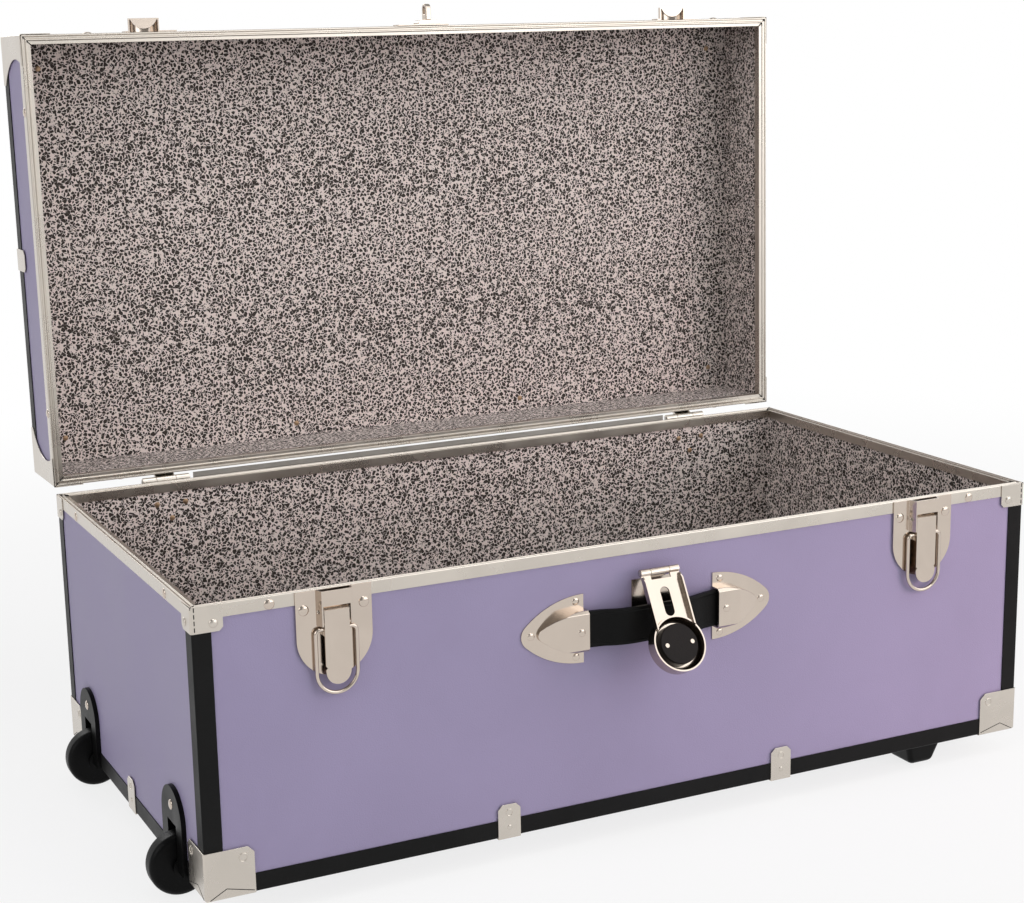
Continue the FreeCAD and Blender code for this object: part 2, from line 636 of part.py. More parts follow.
# Lock hasp: wall leaf, pin, and the swinging plate with the round lock end
lock_x = d.lock_shift
hasp_y, hasp_z = front(d.hasp_pin_out), z_rim - d.hasp_pin_drop
leaf = keep(new_piece("hasp_leaf"))
leaf_top, knuckle_half, arm = hasp_z - d.hasp_leaf_top, d.hasp_leaf_knuckle, d.hasp_pin_radius
block(leaf, around(lock_x, d.hasp_leaf_half), (-face_y - d.hasp_sheet, -face_y),
      (hasp_z - d.hasp_leaf_low, leaf_top))
pad(leaf, "YZ", lock_x - knuckle_half, knuckle_half * 2,
    [(-face_y, leaf_top - d.edge_relief), (-face_y, leaf_top + d.hasp_sheet * 1.5),
     (hasp_y + arm * 0.8, hasp_z + arm), (hasp_y - arm * 0.8, hasp_z - arm),
     (-face_y - d.hasp_sheet, leaf_top - d.edge_relief)])
pad(leaf, "YZ", lock_x - knuckle_half, knuckle_half * 2, pin_shape(hasp_y, hasp_z, d.hasp_knuckle))
cut(leaf, "YZ", lock_x - knuckle_half - d.overcut, (knuckle_half + d.overcut) * 2,
    pin_shape(hasp_y, hasp_z, d.hasp_pin_radius))
hasp_pin = keep(new_piece("hasp_pin"))
pin_half = d.hasp_half + d.hasp_pin_proud
pad(hasp_pin, "YZ", lock_x - pin_half, pin_half * 2, pin_shape(hasp_y, hasp_z, d.hasp_pin_radius))


def hang(thing):
    """Hasp pieces are drawn hanging straight down from the pin, then tilted out to the rest pose."""
    thing.Placement = Placement(Vector(), Rotation(X_AXIS, -d.hasp_tilt.value))
    bind(thing, "Placement.Rotation.Angle", -d.hasp_tilt)
    for name, at in zip("xyz", (lock_x, hasp_y, hasp_z)):
        bind(thing, "Placement.Base.%s" % name, at)
    return keep(thing)


hasp = hang(new_piece("hasp_plate"))
half, sheet_t, dish_r = d.hasp_half, d.hasp_sheet, d.hasp_dish_radius
gap, window = knuckle_half + d.knuckle_gap, -d.hasp_knuckle_window
dish_z = -d.hasp_dish_centre
neck_z = dish_z + d.hasp_neck
slot, slot_top, slot_low = d.hasp_slot_half, -d.hasp_slot_top, -d.hasp_slot_bottom
pad(hasp, "XZ", sheet_t / 2, sheet_t,
    [(-half, 0), (-half, neck_z), (half, neck_z), (half, 0), (gap, 0), (gap, window), (-gap, window),
     (-gap, 0)],
    [(-slot, slot_top), (-slot, slot_low, slot), (0, slot_low - slot, slot), (slot, slot_low),
     (slot, slot_top, slot), (0, slot_top + slot, slot)])
flange, flange_top = -d.hasp_flange, -d.hasp_flange_start
for edge in (-half, half - sheet_t):
    pad(hasp, "YZ", edge, sheet_t,
        [(sheet_t / 2, flange_top), (sheet_t / 2, neck_z), (flange, neck_z),
         (flange, flange_top + flange), (flange / 2, flange_top)])
cut(hasp, "XZ", sheet_t, d.hasp_flange + sheet_t * 2, (0, dish_z, dish_r - sheet_t))
for edge in (-half, gap):
    pad(hasp, "YZ", edge, half - gap, pin_shape(0, 0, d.hasp_knuckle))
cut(hasp, "YZ", -half - d.overcut, (half + d.overcut) * 2,
    bore_shape(0, 0, d.hasp_pin_radius + d.running_fit))
floor, lip = d.hasp_dish_floor, -d.hasp_dish_lip
turn(hasp, "XY", dish_z, (0, 0), "V_Axis",
     [(0, floor - sheet_t), (dish_r - sheet_t, floor - sheet_t), (dish_r - sheet_t, lip),
      (dish_r, lip), (dish_r, floor), (0, floor)])

disc = hang(new_piece("hasp_disc"))
disc_face = -d.hasp_disc_front
pad(disc, "XZ", floor - sheet_t, floor - sheet_t - disc_face, (0, dish_z, d.hasp_disc_radius))
disc_rivet = new_piece("hasp_disc_rivet")
pad(disc_rivet, "XZ", disc_face, d.disc_rivet_rise,
    rectangle(around(-d.disc_rivet_half, d.disc_rivet_radius), around(dish_z, d.disc_rivet_radius)))
soften(disc_rivet, d.disc_rivet_radius * 0.58,
       *[(-d.disc_rivet_half + d.disc_rivet_radius * i, None, dish_z + d.disc_rivet_radius * k)
         for i in (-1, 1) for k in (-1, 1)], kind="Chamfer")
hang(group("hasp_disc_rivets", [disc_rivet, mirrored(disc_rivet, X_AXIS)]))


# Handle: two riveted loops with a hollow dome, and a strap whose ends slide inside them
handle_z = z_rim - d.handle_drop
strap_tip = d.strap_end + d.strap_half


def bullet(half, mouth, straight, tip, side_round, tip_round, shoulder, shoulder_half):
    """Outline of a loop's plate or dome: square at the mouth, rounded at the far end."""
    near, far = -mouth - straight, -tip + shoulder
    above = [(near, handle_z + half, side_round), (far, handle_z + shoulder_half, tip_round)]
    below = [(far, handle_z - shoulder_half, side_round), (near, handle_z - half)]
    mouth_ends = [(-mouth, handle_z - half), (-mouth, handle_z + half)]
    return above + [(-tip, handle_z, tip_round)] + below + (mouth_ends if as_size(straight).value else [])


loop = keep(new_piece("handle_loop_left"))
pad(loop, "XZ", -face_y, d.loop_sheet,
    bullet(d.loop_half, d.loop_mouth, 0, d.loop_tip, d.loop_side_round, d.loop_tip_round,
           d.loop_shoulder, d.loop_shoulder_half))
dome_y = front(d.dome_rise)
pad(loop, "XZ", -face_y, -face_y - dome_y,
    bullet(d.dome_half, d.loop_mouth, d.dome_straight, d.dome_end, d.dome_side_round, d.dome_tip_round,
           d.dome_shoulder, d.dome_shoulder_half))
slope_x, over = -d.loop_mouth - d.dome_slope_start, d.overcut
cut(loop, "XY", handle_z - d.dome_half - over, (d.dome_half + over) * 2,
    [(slope_x, dome_y), (-d.dome_end, front(d.dome_slope_end)), (-d.dome_end - over, front(d.dome_slope_end)),
     (-d.dome_end - over, dome_y - over), (slope_x, dome_y - over)])
for sign in (-1, 1):
    edge_z, bevel = handle_z + d.dome_half * sign, d.dome_bevel
    cut(loop, "YZ", -d.dome_end, d.dome_end - d.loop_mouth,
        [(dome_y, edge_z - bevel * sign), (dome_y + bevel, edge_z), (dome_y + bevel, edge_z + over * sign),
         (dome_y - over, edge_z + over * sign), (dome_y - over, edge_z - bevel * sign)])
hollow_half, nose = d.strap_half + d.strap_side_gap, strap_tip + d.strap_nose_gap
knee_x, knee_half = -strap_tip + d.strap_half / 6, d.strap_half - d.strap_nose + d.clearance
bend_x, nose_half = -strap_tip + d.strap_half * 2 / 3, d.strap_nose * 2
ceiling = d.strap_back + d.strap_gauge + d.strap_slide + d.strap_top_gap
cut(loop, "XZ", -face_y, -face_y - front(ceiling),
    [(-d.loop_mouth + over, handle_z - hollow_half), (-d.loop_mouth + over, handle_z + hollow_half),
     (bend_x, handle_z + hollow_half), (knee_x, handle_z + knee_half), (-nose, handle_z + nose_half),
     (-nose, handle_z - nose_half), (knee_x, handle_z - knee_half), (bend_x, handle_z - hollow_half)])
mirror_loop = mirrored(loop, X_AXIS, "handle_loop_right")
mirror_loop.Label = "handle_loop_right"
keep(mirror_loop)

loop_rivets = []
rivet_x, rivet_up = d.loop_mouth + d.loop_rivet_mouth, d.loop_half - d.loop_rivet_side
for sign in (-1, 1):
    for x, y, up in ((d.loop_tip - d.loop_rivet_tip, -face_y - d.loop_sheet, 0), (rivet_x, dome_y, 0),
                     (rivet_x, -face_y - d.loop_sheet, rivet_up),
                     (rivet_x, -face_y - d.loop_sheet, -rivet_up)):
        loop_rivets.append(rivet(x * sign, y, handle_z + up, "front", d.loop_rivet_base,
                                 d.loop_rivet_rise))
keep(group("handle_rivets", loop_rivets))

# Plan of the strap: two opposite arcs at each side lead from the flat ends out to the bowed middle
strap = keep(new_piece("handle_strap"))
strap_mid = front(d.strap_back + d.strap_gauge / 2)
bow_y = strap_mid - d.strap_bow
a, b, t = d.strap_curve_outer, d.strap_curve_inner, d.strap_gauge / 2
run = a - b
strap_r = (run * run + d.strap_bow * d.strap_bow) / (d.strap_bow * 4)
lean, square = run / (strap_r * 2), 1 - d.strap_bow / (strap_r * 2)
turn_x, turn_y = (a + b) / 2, strap_mid - d.strap_bow / 2


def strap_edge(out):
    """One long edge of the plan from left to right; out is the offset towards the front."""
    x, y = turn_x + out * lean, turn_y - out * square
    return [(-strap_tip, strap_mid - out), (-a, strap_mid - out, out - strap_r), (-x, y, strap_r + out),
            (-b, bow_y - out), (b, bow_y - out, strap_r + out), (x, y, out - strap_r),
            (a, strap_mid - out), (strap_tip, strap_mid - out)]


def backwards(corners):
    """The same chain run the other way; each arc keeps its own two ends and its centre."""
    ends = [corner[:2] for corner in corners][::-1]
    bends = [(-corner[2],) if len(corner) > 2 else () for corner in corners[:-1]][::-1] + [()]
    return [end + bend for end, bend in zip(ends, bends)]


pad(strap, "XY", handle_z - d.strap_half, d.strap_half * 2, strap_edge(t) + backwards(strap_edge(-t)))
soften(strap, d.strap_half - d.strap_nose,
       *[(strap_tip * sign, None, handle_z + d.strap_half * up) for sign in (-1, 1) for up in (-1, 1)])


# Wheels at the left end, each in a moulded boot with ears for the axle
def wheel(side, y):
    boot = keep(new_piece("wheel_housing_" + side))
    half, top, over = d.boot_half, z_low + d.boot_height, d.overcut
    outside = -half_w - d.boot_proud
    pad(boot, "YZ", outside, d.boot_proud + d.trim_gauge,
        [(y - half, z_low), (y + half, z_low), (y + half, top - half, half), (y, top, half),
         (y - half, top - half)])
    pad(boot, "YZ", -face_x, d.well_reach - d.trim_gauge,
        rectangle(around(y, well_side), (z_low, well_top)))
    pad(boot, "XZ", y + well_side, well_side * 2, pin_shape(axle_x, axle_z, d.ear_radius))
    reach = d.ear_radius + d.boot_proud + over
    cut(boot, "YZ", -half_w - reach, d.well_reach + reach - d.well_wall,
        rectangle(around(y, d.well_half), (axle_z - d.ear_radius - over, z_low + d.well_height)))
    cut(boot, "XZ", y + well_side + over, (well_side + over) * 2, pin_shape(axle_x, axle_z, d.axle_radius))

    axle = keep(new_piece("wheel_axle_" + side))
    pad(axle, "XZ", y + well_side, well_side * 2, pin_shape(axle_x, axle_z, d.axle_radius))

    disc = keep(new_piece("wheel_" + side))
    pad(disc, "XZ", y + d.wheel_width / 2, d.wheel_width, (axle_x, axle_z, d.wheel_radius),
        bore_shape(axle_x, axle_z, d.axle_radius + d.running_fit))


wheel("front", -wheel_reach)
wheel("rear", wheel_reach)

# Glides under the right end: blocks that taper down to the foot on all four sides
glide = keep(new_piece("glide_front"))
gx, gy = half_w - d.glide_end_inset, d.glide_side_inset - half_d
top_y, foot_y = d.glide_top_deep, d.glide_foot_deep
pad(glide, "XZ", gy + top_y, top_y * 2,
    [(gx - d.glide_foot_half, 0), (gx + d.glide_foot_half, 0), (gx + d.glide_top_half, z_low),
     (gx - d.glide_top_half, z_low)])
for sign in (-1, 1):
    cut(glide, "YZ", gx - d.glide_top_half - d.overcut, (d.glide_top_half + d.overcut) * 2,
        [(gy + foot_y * sign, 0), (gy + top_y * sign, z_low), (gy + (top_y + d.overcut) * sign, z_low),
         (gy + (top_y + d.overcut) * sign, 0)])
rear_glide = keep(mirrored(glide, Y_AXIS, "glide_rear"))
rear_glide.Label = "glide_rear"


# Rear hinges: knuckles at both ends on the base, one in the middle on the lid
def hinge_leaf(label, up, spans):
    leaf = new_piece(label)
    x, half, g, r = -hinge_x, d.hinge_half, d.hinge_sheet, d.hinge_knuckle
    near = hinge_z + d.hinge_leaf_start * up
    block(leaf, around(x, half), (half_d, half_d + g), (hinge_z + d.hinge_leaf_drop * up, near))
    for start, stop in spans:
        pad(leaf, "YZ", x + start, stop - start,
            [(half_d, near + d.edge_relief * up), (half_d + g, near + d.edge_relief * up),
             (hinge_y + r * 0.3, hinge_z + r * 0.85 * up), (hinge_y - r * 0.88, hinge_z + r * 0.35 * up),
             (half_d, near - g * 1.67 * up)])
        pad(leaf, "YZ", x + start, stop - start, pin_shape(hinge_y, hinge_z, r))
    bore = (bore_shape(hinge_y, hinge_z, d.hinge_pin_radius + d.running_fit) if up > 0
            else pin_shape(hinge_y, hinge_z, d.hinge_pin_radius))
    cut(leaf, "YZ", x - half - d.overcut, (half + d.overcut) * 2, bore)
    return with_mirror([leaf], X_AXIS)


outer, inner = d.hinge_half, d.hinge_middle_half
side_start = inner + d.knuckle_gap
keep(group("hinge_base_leaves",
           hinge_leaf("hinge_base_leaf", -1, ((-outer, -side_start), (side_start, outer)))))
swing(keep(group("hinge_lid_leaves", hinge_leaf("hinge_lid_leaf", 1, ((-inner, inner),)))))
hinge_pin = new_piece("hinge_pin")
pin_half = d.hinge_half + d.hinge_pin_proud
pad(hinge_pin, "YZ", -hinge_x - pin_half, pin_half * 2,
    pin_shape(hinge_y, hinge_z, d.hinge_pin_radius))
keep(group("hinge_pins", with_mirror([hinge_pin], X_AXIS)))
strip = keep(new_piece("hinge_strip"))
strip_half = hinge_x - d.hinge_half - d.strip_gap
t, crest = d.strip_sheet, hinge_y - d.strip_setback
foot, bend, knee, peak = z_rim - d.strip_leg, z_rim - d.strip_bend, z_rim - d.strip_knee, z_rim + d.strip_rise
pad(strip, "YZ", -strip_half, strip_half * 2,
    [(half_d, foot), (half_d, bend), (crest, knee), (crest, peak), (crest + t, peak),
     (crest + t, knee - t / 2), (half_d + t, bend - t / 2), (half_d + t, foot)])


# Lid, drawn closed
lid, lid_rim, lid_edge, lid_z = carcass("lid", z_lid, 1, d.lid_height, "top")
for piece in lid.values():
    swing(piece)
swing(four_sides("lid_rim", *lid_rim))
swing(four_sides("lid_edging", *lid_edge))

corner = new_piece("lid_corner")
reach, c = d.lid_corner_reach, d.cap_gauge
over, wing_z = d.overcut, z_top - d.lid_corner_edge
block(corner, (cap_x, cap_x + reach), (cap_y, cap_y + reach), (z_lid + d.edge_relief, z_top + c))
clear(corner, (-half_w, cap_x + reach + over), (-half_d, cap_y + reach + over), (z_lid - over, z_top))
for plane, start, level, against in (("XZ", cap_x, cap_y - over, True), ("YZ", cap_y, cap_x - over, False)):
    leg, tip = start + d.lid_corner_rim_leg, start + reach + d.edge_relief
    cut(corner, plane, level, c + over * 2,
        [(leg, z_lid - over), (tip + over, z_lid - over), (tip + over, wing_z),
         (tip, wing_z, d.lid_corner_scoop)], against=against)
soften(corner, d.lid_corner_round, (cap_x + reach, cap_y + reach, None))
soften(corner, d.cap_edge, (cap_x, cap_y, None), (cap_x, None, z_top + c), (None, cap_y, z_top + c),
       kind="Chamfer")
swing(four_corners("lid_corners", corner))
swing(keep(group("lid_edge_clamps", clamp_pieces("lid_clamp", z_top, 1))))


def catch(side, x):
    """Half-round hood that the bail's bow closes over; a tongue fills part of its open side."""
    hook = keep(new_piece("lid_catch_" + side))
    r, g, rise = d.bail_half - d.bail_radius - d.catch_gap, d.catch_sheet, d.catch_rise
    start = bail_z * 2 - bow_z
    inner = r - g
    pad(hook, "XZ", -half_d, rise,
        [(x + r, start, r), (x, start + r, r), (x - r, start), (x - inner, start, -inner),
         (x, start + inner, -inner), (x + inner, start)])
    pad(hook, "XZ", front(rise - g), g, [(x + r, start, r), (x, start + r, r), (x - r, start)])
    foot_z = start + r * 0.8
    for low, high in ((x - r - d.catch_short_foot, x - inner), (x + inner, x + r + d.catch_foot)):
        block(hook, (low, high), (front(g), -half_d), (start, foot_z))
    tongue, half = d.catch_tongue, inner - d.catch_gap
    root = front(rise - g)
    bulge = (half * half + tongue * tongue) / (tongue * 2)
    pad(hook, "XY", start, g, [(x - half, root), (x + half, root, bulge), (x, root + tongue, bulge)])
    return swing(hook)


catch("left", -latch_x)
catch("right", latch_x)

boss = swing(keep(new_piece("lid_staple_plate")))
staple_low = z_lid + d.staple_start
staple_mid, staple_high = staple_low + d.staple_length / 2, staple_low + d.staple_length
boss_y, plate_y, boss_half = front(d.staple_boss_rise), front(d.staple_plate_gauge), d.staple_boss_half
block(boss, (lock_x - d.staple_plate_left, lock_x + d.staple_plate_right), (plate_y, -half_d),
      around(staple_mid, d.staple_plate_tall))
block(boss, around(lock_x, boss_half), (boss_y, plate_y), around(staple_mid, d.staple_boss_tall))
soften(boss, d.staple_boss_round, (lock_x - boss_half, boss_y, None), (lock_x + boss_half, boss_y, None))
staple = swing(keep(new_piece("lid_staple")))
bend, eye, nose = d.staple_length / 2, d.staple_eye, front(d.staple_rise)
eye_y = boss_y - d.staple_eye_back
pad(staple, "YZ", lock_x - d.staple_half, d.staple_half * 2,
    [(boss_y, staple_high), (nose + bend, staple_high, bend), (nose, staple_mid, bend),
     (nose + bend, staple_low), (boss_y, staple_low)],
    [(eye_y, staple_mid + eye), (nose + bend, staple_mid + eye, eye), (nose + bend - eye, staple_mid, eye),
     (nose + bend, staple_mid - eye), (eye_y, staple_mid - eye)])
swing(keep(group("lid_rivets", rim_rivets(z_lid + d.rim_rivet_drop))))

doc.recompute()
faults = [(o.Label, o.State) for o in doc.Objects if "Invalid" in o.State or "Error" in o.State]
for node in nodes:
    if node.Shape.isNull() or not node.Shape.isValid() or not node.Shape.Solids:
        faults.append((node.Label, "shape"))
if faults:
    raise RuntimeError("not built: %s" % faults)
os.makedirs("parts", exist_ok=True)
for node in nodes:
    node.Shape.exportStep("parts/%s.step" % node.Label)
print(len(nodes), "nodes,", sum(len(n.Shape.Solids) for n in nodes), "solids")
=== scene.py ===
# %% [markdown]
# # A rolling trunk, dressed in Blender
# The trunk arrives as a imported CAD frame: every panel, latch and wheel is already at its real size
# and place, in metres. This lesson gives the surfaces their finish, adds the small things that a
# CAD model leaves out, and sets the camera where the photograph was taken from.

# %% Load the frame
import json
import math

import bpy
from mathutils import Matrix, Vector

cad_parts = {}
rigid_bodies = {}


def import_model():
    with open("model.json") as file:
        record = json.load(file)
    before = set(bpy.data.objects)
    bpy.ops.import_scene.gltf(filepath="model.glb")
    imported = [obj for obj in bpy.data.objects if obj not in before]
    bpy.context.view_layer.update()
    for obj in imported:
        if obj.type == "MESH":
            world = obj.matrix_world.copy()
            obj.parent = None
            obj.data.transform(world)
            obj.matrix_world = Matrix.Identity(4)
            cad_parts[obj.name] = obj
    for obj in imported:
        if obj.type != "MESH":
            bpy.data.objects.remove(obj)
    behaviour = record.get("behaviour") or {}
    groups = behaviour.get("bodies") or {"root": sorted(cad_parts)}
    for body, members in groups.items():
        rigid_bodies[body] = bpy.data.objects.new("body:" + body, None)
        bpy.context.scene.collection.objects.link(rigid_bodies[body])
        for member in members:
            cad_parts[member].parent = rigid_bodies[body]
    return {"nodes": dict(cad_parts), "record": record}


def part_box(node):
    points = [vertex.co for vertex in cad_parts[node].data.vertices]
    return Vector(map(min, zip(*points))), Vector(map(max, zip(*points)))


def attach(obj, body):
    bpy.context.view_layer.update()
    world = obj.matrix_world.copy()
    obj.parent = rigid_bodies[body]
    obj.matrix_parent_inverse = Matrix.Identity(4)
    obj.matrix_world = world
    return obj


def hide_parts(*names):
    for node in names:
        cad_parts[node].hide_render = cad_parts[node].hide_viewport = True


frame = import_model()
NODES = frame["nodes"]
SCENE = bpy.context.scene
RECORD = frame["record"]
BODY_OF = {node: body for body, members in RECORD["behaviour"]["bodies"].items() for node in members}
SLOT_OF = {part["node"]: part["material_slot"] for part in RECORD["subparts"]}
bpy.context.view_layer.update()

# %% [markdown]
# ## Camera
# The photograph was taken from the front left, a little above the open base. The numbers below are
# a fitted pinhole camera: where it stands, which way it looks, and how far its axis lies from the
# middle of the picture, which Blender calls shift.

# %% Place the camera
CAMERA_PLACE = Vector((-0.7640, -1.5047, 0.6593))
CAMERA_AZIMUTH, CAMERA_DROP, CAMERA_ROLL = (math.radians(a) for a in (-25.268, 12.896, -1.25))
LENS_MM, SENSOR_MM, SHIFT_X, SHIFT_Y = 68.55, 36.0, 0.0311, 0.0127
FARTHEST_SEEN = 50

ahead = Vector((-math.sin(CAMERA_AZIMUTH) * math.cos(CAMERA_DROP),
                math.cos(CAMERA_AZIMUTH) * math.cos(CAMERA_DROP), -math.sin(CAMERA_DROP)))
level_right = ahead.cross(Vector((0, 0, 1))).normalized()
level_up = level_right.cross(ahead)
right = level_right * math.cos(CAMERA_ROLL) + level_up * math.sin(CAMERA_ROLL)
up = right.cross(ahead)
bpy.ops.object.camera_add()
camera = bpy.context.object
camera.name = "camera"
camera.matrix_world = Matrix.Translation(CAMERA_PLACE) @ Matrix((right, up, -ahead)).transposed().to_4x4()
camera.data.lens, camera.data.sensor_width = LENS_MM, SENSOR_MM
camera.data.shift_x, camera.data.shift_y = SHIFT_X, SHIFT_Y
camera.data.clip_end = FARTHEST_SEEN
SCENE.camera = camera
print("camera at", tuple(round(v, 3) for v in CAMERA_PLACE))

# %% [markdown]
# ## Studio
# The trunk stands on a pale floor before a pale wall. Both answer camera, mirror and glass rays with plain
# white, so the picture has a white ground and the metal shows it too. Close to the trunk a part of the
# floor's answer stays ordinary light, which keeps a soft shadow under it. The world is white to the camera
# and a dim grey to all else, so that the metal has something dark to reflect. Three large lamps give the
# light, a broad dim card in front shows in the rims of the lid, and a lamp behind lights the back. A weak
# warm lamp, which the metal doesn't mirror, brightens the right part of the front.

# %% Helpers for nodes
SCENE.view_settings.view_transform = "Standard"


def add_node(tree, kind, inputs=None, **settings):
    """A new shader node; inputs maps socket names or numbers to their values."""
    made = tree.nodes.new("ShaderNode" + kind)
    for name, value in settings.items():
        setattr(made, name, value)
    for name, value in (inputs or {}).items():
        made.inputs[name].default_value = value
    return made


def link(tree, source, output, target, socket):
    tree.links.new(source.outputs[output], target.inputs[socket])


print("view transform:", SCENE.view_settings.view_transform)

# %% Floor and wall
# The share of plain white at the trunk, and the distances in metres between which it grows to one.
WHITE_NEAR, WHITE_FROM, WHITE_TO = 0.8, 0.75, 1.9


def studio_white(name, near):
    """White for camera, mirror and glass rays; near the trunk a share of it is ordinary light."""
    material = bpy.data.materials.new(name)
    material.use_nodes = True
    tree = material.node_tree
    tree.nodes.clear()
    path = add_node(tree, "LightPath")
    glow = add_node(tree, "Emission", {"Color": (1, 1, 1, 1), "Strength": 1.0})
    matt = add_node(tree, "BsdfDiffuse", {"Color": (0.8, 0.8, 0.8, 1)})
    place = add_node(tree, "TexCoord")
    far = add_node(tree, "VectorMath", operation="LENGTH")
    share = add_node(tree, "MapRange", {"From Min": WHITE_FROM, "From Max": WHITE_TO, "To Min": near},
                     interpolation_type="SMOOTHSTEP")
    camera_or_mirror = add_node(tree, "Math", operation="MAXIMUM")
    any_of_three = add_node(tree, "Math", operation="MAXIMUM")
    amount = add_node(tree, "Math", operation="MULTIPLY")
    mix = add_node(tree, "MixShader")
    out = add_node(tree, "OutputMaterial")
    link(tree, place, "Object", far, 0)
    link(tree, far, "Value", share, "Value")
    link(tree, path, "Is Camera Ray", camera_or_mirror, 0)
    link(tree, path, "Is Glossy Ray", camera_or_mirror, 1)
    link(tree, camera_or_mirror, 0, any_of_three, 0)
    link(tree, path, "Is Transmission Ray", any_of_three, 1)
    link(tree, any_of_three, 0, amount, 0)
    link(tree, share, "Result", amount, 1)
    link(tree, amount, 0, mix, 0)
    link(tree, matt, 0, mix, 1)
    link(tree, glow, 0, mix, 2)
    link(tree, mix, 0, out, "Surface")
    return material


def studio_sheet(name, width, depth, place, turn, near):
    bpy.ops.object.select_all(action="DESELECT")
    bpy.ops.mesh.primitive_plane_add(size=1, location=place, rotation=turn)
    sheet = bpy.context.object
    sheet.name = name
    sheet.scale = (width, depth, 1)
    bpy.ops.object.transform_apply(location=True, rotation=True, scale=True)
    sheet.data.materials.append(studio_white(name + "_white", near))
    print(name, width, "by", depth, "metres")


studio_sheet("floor", 14, 14, (0, 0, 0), (0, 0, 0), WHITE_NEAR)
studio_sheet("wall", 16, 9, (2.0, 5.5, 3.0), (math.radians(90), 0, 0), 1.0)

# %% Lamps


def lamp(name, place, target, width, height, watts):
    """A rectangular lamp that the camera doesn't see, turned to its target."""
    bpy.ops.object.light_add(type="AREA", location=place)
    light = bpy.context.object
    light.name = name
    light.data.shape = "RECTANGLE"
    light.data.size = width
    light.data.size_y = height
    light.data.energy = watts
    light.visible_camera = False
    light.rotation_euler = (Vector(target) - Vector(place)).to_track_quat("-Z", "Y").to_euler()
    print(name, watts, "watts")
    return light


lamp("key_lamp", (2.3, -1.9, 1.9), (0.1, 0.0, 0.3), 4.6, 3.4, 77)
lamp("fill_lamp", (-3.0, -0.8, 1.7), (0.0, 0.0, 0.3), 2.2, 2.0, 29)
lamp("top_lamp", (0.2, -0.9, 3.2), (0.0, 0.1, 0.2), 1.6, 1.2, 18)
lamp("front_card", (1.9, -4.0, 1.1), (0.0, 0.2, 0.6), 4.0, 1.6, 15)
lamp("rear_lamp", (-0.9, 3.3, 2.3), (0.0, 0.0, 0.3), 1.6, 1.4, 26)
right_lamp = lamp("right_lamp", (0.92, -0.85, 0.32), (0.37, -0.2, 0.10), 0.35, 0.35, 0.45)
right_lamp.data.color = (1.0, 0.56, 0.59)
right_lamp.data.spread = math.radians(70)
right_lamp.visible_glossy = False

# %% World
WORLD_GREY = 0.34
world = bpy.data.worlds.new("studio")
SCENE.world = world
world.use_nodes = True
sky = world.node_tree
seen = add_node(sky, "LightPath")
sky_shade = add_node(sky, "MapRange", {"To Min": WORLD_GREY})
link(sky, seen, "Is Camera Ray", sky_shade, "Value")
link(sky, sky_shade, "Result", sky.nodes["Background"], "Color")
print("world grey:", WORLD_GREY)

# %% [markdown]
# ## Shared surface effects
# Two effects come back on many materials. Grain is the fine unevenness of coated board, plastic and
# rubber. Marks are the faint clouds that handling and rolling leave on a surface: they shift its tone a
# little and change how sharply it reflects.

# %% Grain


def shader_group(name, inputs, outputs):
    """An empty node group with number sockets, and its input and output nodes."""
    group = bpy.data.node_groups.new(name, "ShaderNodeTree")
    for socket, value in inputs.items():
        made = group.interface.new_socket(socket, in_out="INPUT", socket_type="NodeSocketFloat")
        made.default_value = value
    for socket in outputs:
        group.interface.new_socket(socket, in_out="OUTPUT", socket_type="NodeSocketFloat")
    return group, group.nodes.new("NodeGroupInput"), group.nodes.new("NodeGroupOutput")


def grain_group():
    group, given, result = shader_group("fine_grain", {"Scale": 900.0}, ["Height"])
    place = add_node(group, "TexCoord")
    pores = add_node(group, "TexNoise", {"Detail": 2.0, "Roughness": 0.55})
    link(group, place, "Object", pores, "Vector")
    link(group, given, "Scale", pores, "Scale")
    link(group, pores, "Fac", result, "Height")
    return group


GRAIN = grain_group()
print("group:", GRAIN.name)

# %% Marks
# Most of what a noise texture gives lies between these two values.
NOISE_LOW, NOISE_HIGH = 0.3, 0.7


def marks_group():
    group, given, result = shader_group("handling_marks", {"Scale": 12.0, "Amount": 0.1}, ["Tone", "Smear"])
    place = add_node(group, "TexCoord")
    clouds = add_node(group, "TexNoise", {"Detail": 4.0, "Roughness": 0.55, "Distortion": 0.6})
    spread = add_node(group, "MapRange", {"From Min": NOISE_LOW, "From Max": NOISE_HIGH})
    centred = add_node(group, "Math", {1: 0.5}, operation="SUBTRACT")
    scaled = add_node(group, "Math", {2: 1.0}, operation="MULTIPLY_ADD")
    link(group, place, "Object", clouds, "Vector")
    link(group, given, "Scale", clouds, "Scale")
    link(group, clouds, "Fac", spread, "Value")
    link(group, spread, "Result", centred, 0)
    link(group, centred, 0, scaled, 0)
    link(group, given, "Amount", scaled, 1)
    link(group, scaled, 0, result, "Tone")
    link(group, spread, "Result", result, "Smear")
    return group


MARKS = marks_group()
print("group:", MARKS.name)

# %% Helpers for materials


def place_group(tree, group, **values):
    """A shared group in a material, with this material's own values."""
    made = tree.nodes.new("ShaderNodeGroup")
    made.node_tree = group
    for name, value in values.items():
        made.inputs[name].default_value = value
    return made


def new_material(name, colour, metallic=0.0, shine=0.5):
    """A plain material, its node tree and its shader."""
    material = bpy.data.materials.new(name)
    material.use_nodes = True
    tree = material.node_tree
    shader = tree.nodes["Principled BSDF"]
    shader.inputs["Base Color"].default_value = colour + (1,)
    shader.inputs["Metallic"].default_value = metallic
    shader.inputs["Specular IOR Level"].default_value = shine
    return material, tree, shader


def tint(tree, shader, colour, marks):
    """Base colour times a tone that varies over the surface."""
    shade = add_node(tree, "MixRGB", {"Fac": 1.0, "Color1": colour + (1,)}, blend_type="MULTIPLY")
    link(tree, marks, "Tone", shade, "Color2")
    link(tree, shade, "Color", shader, "Base Color")


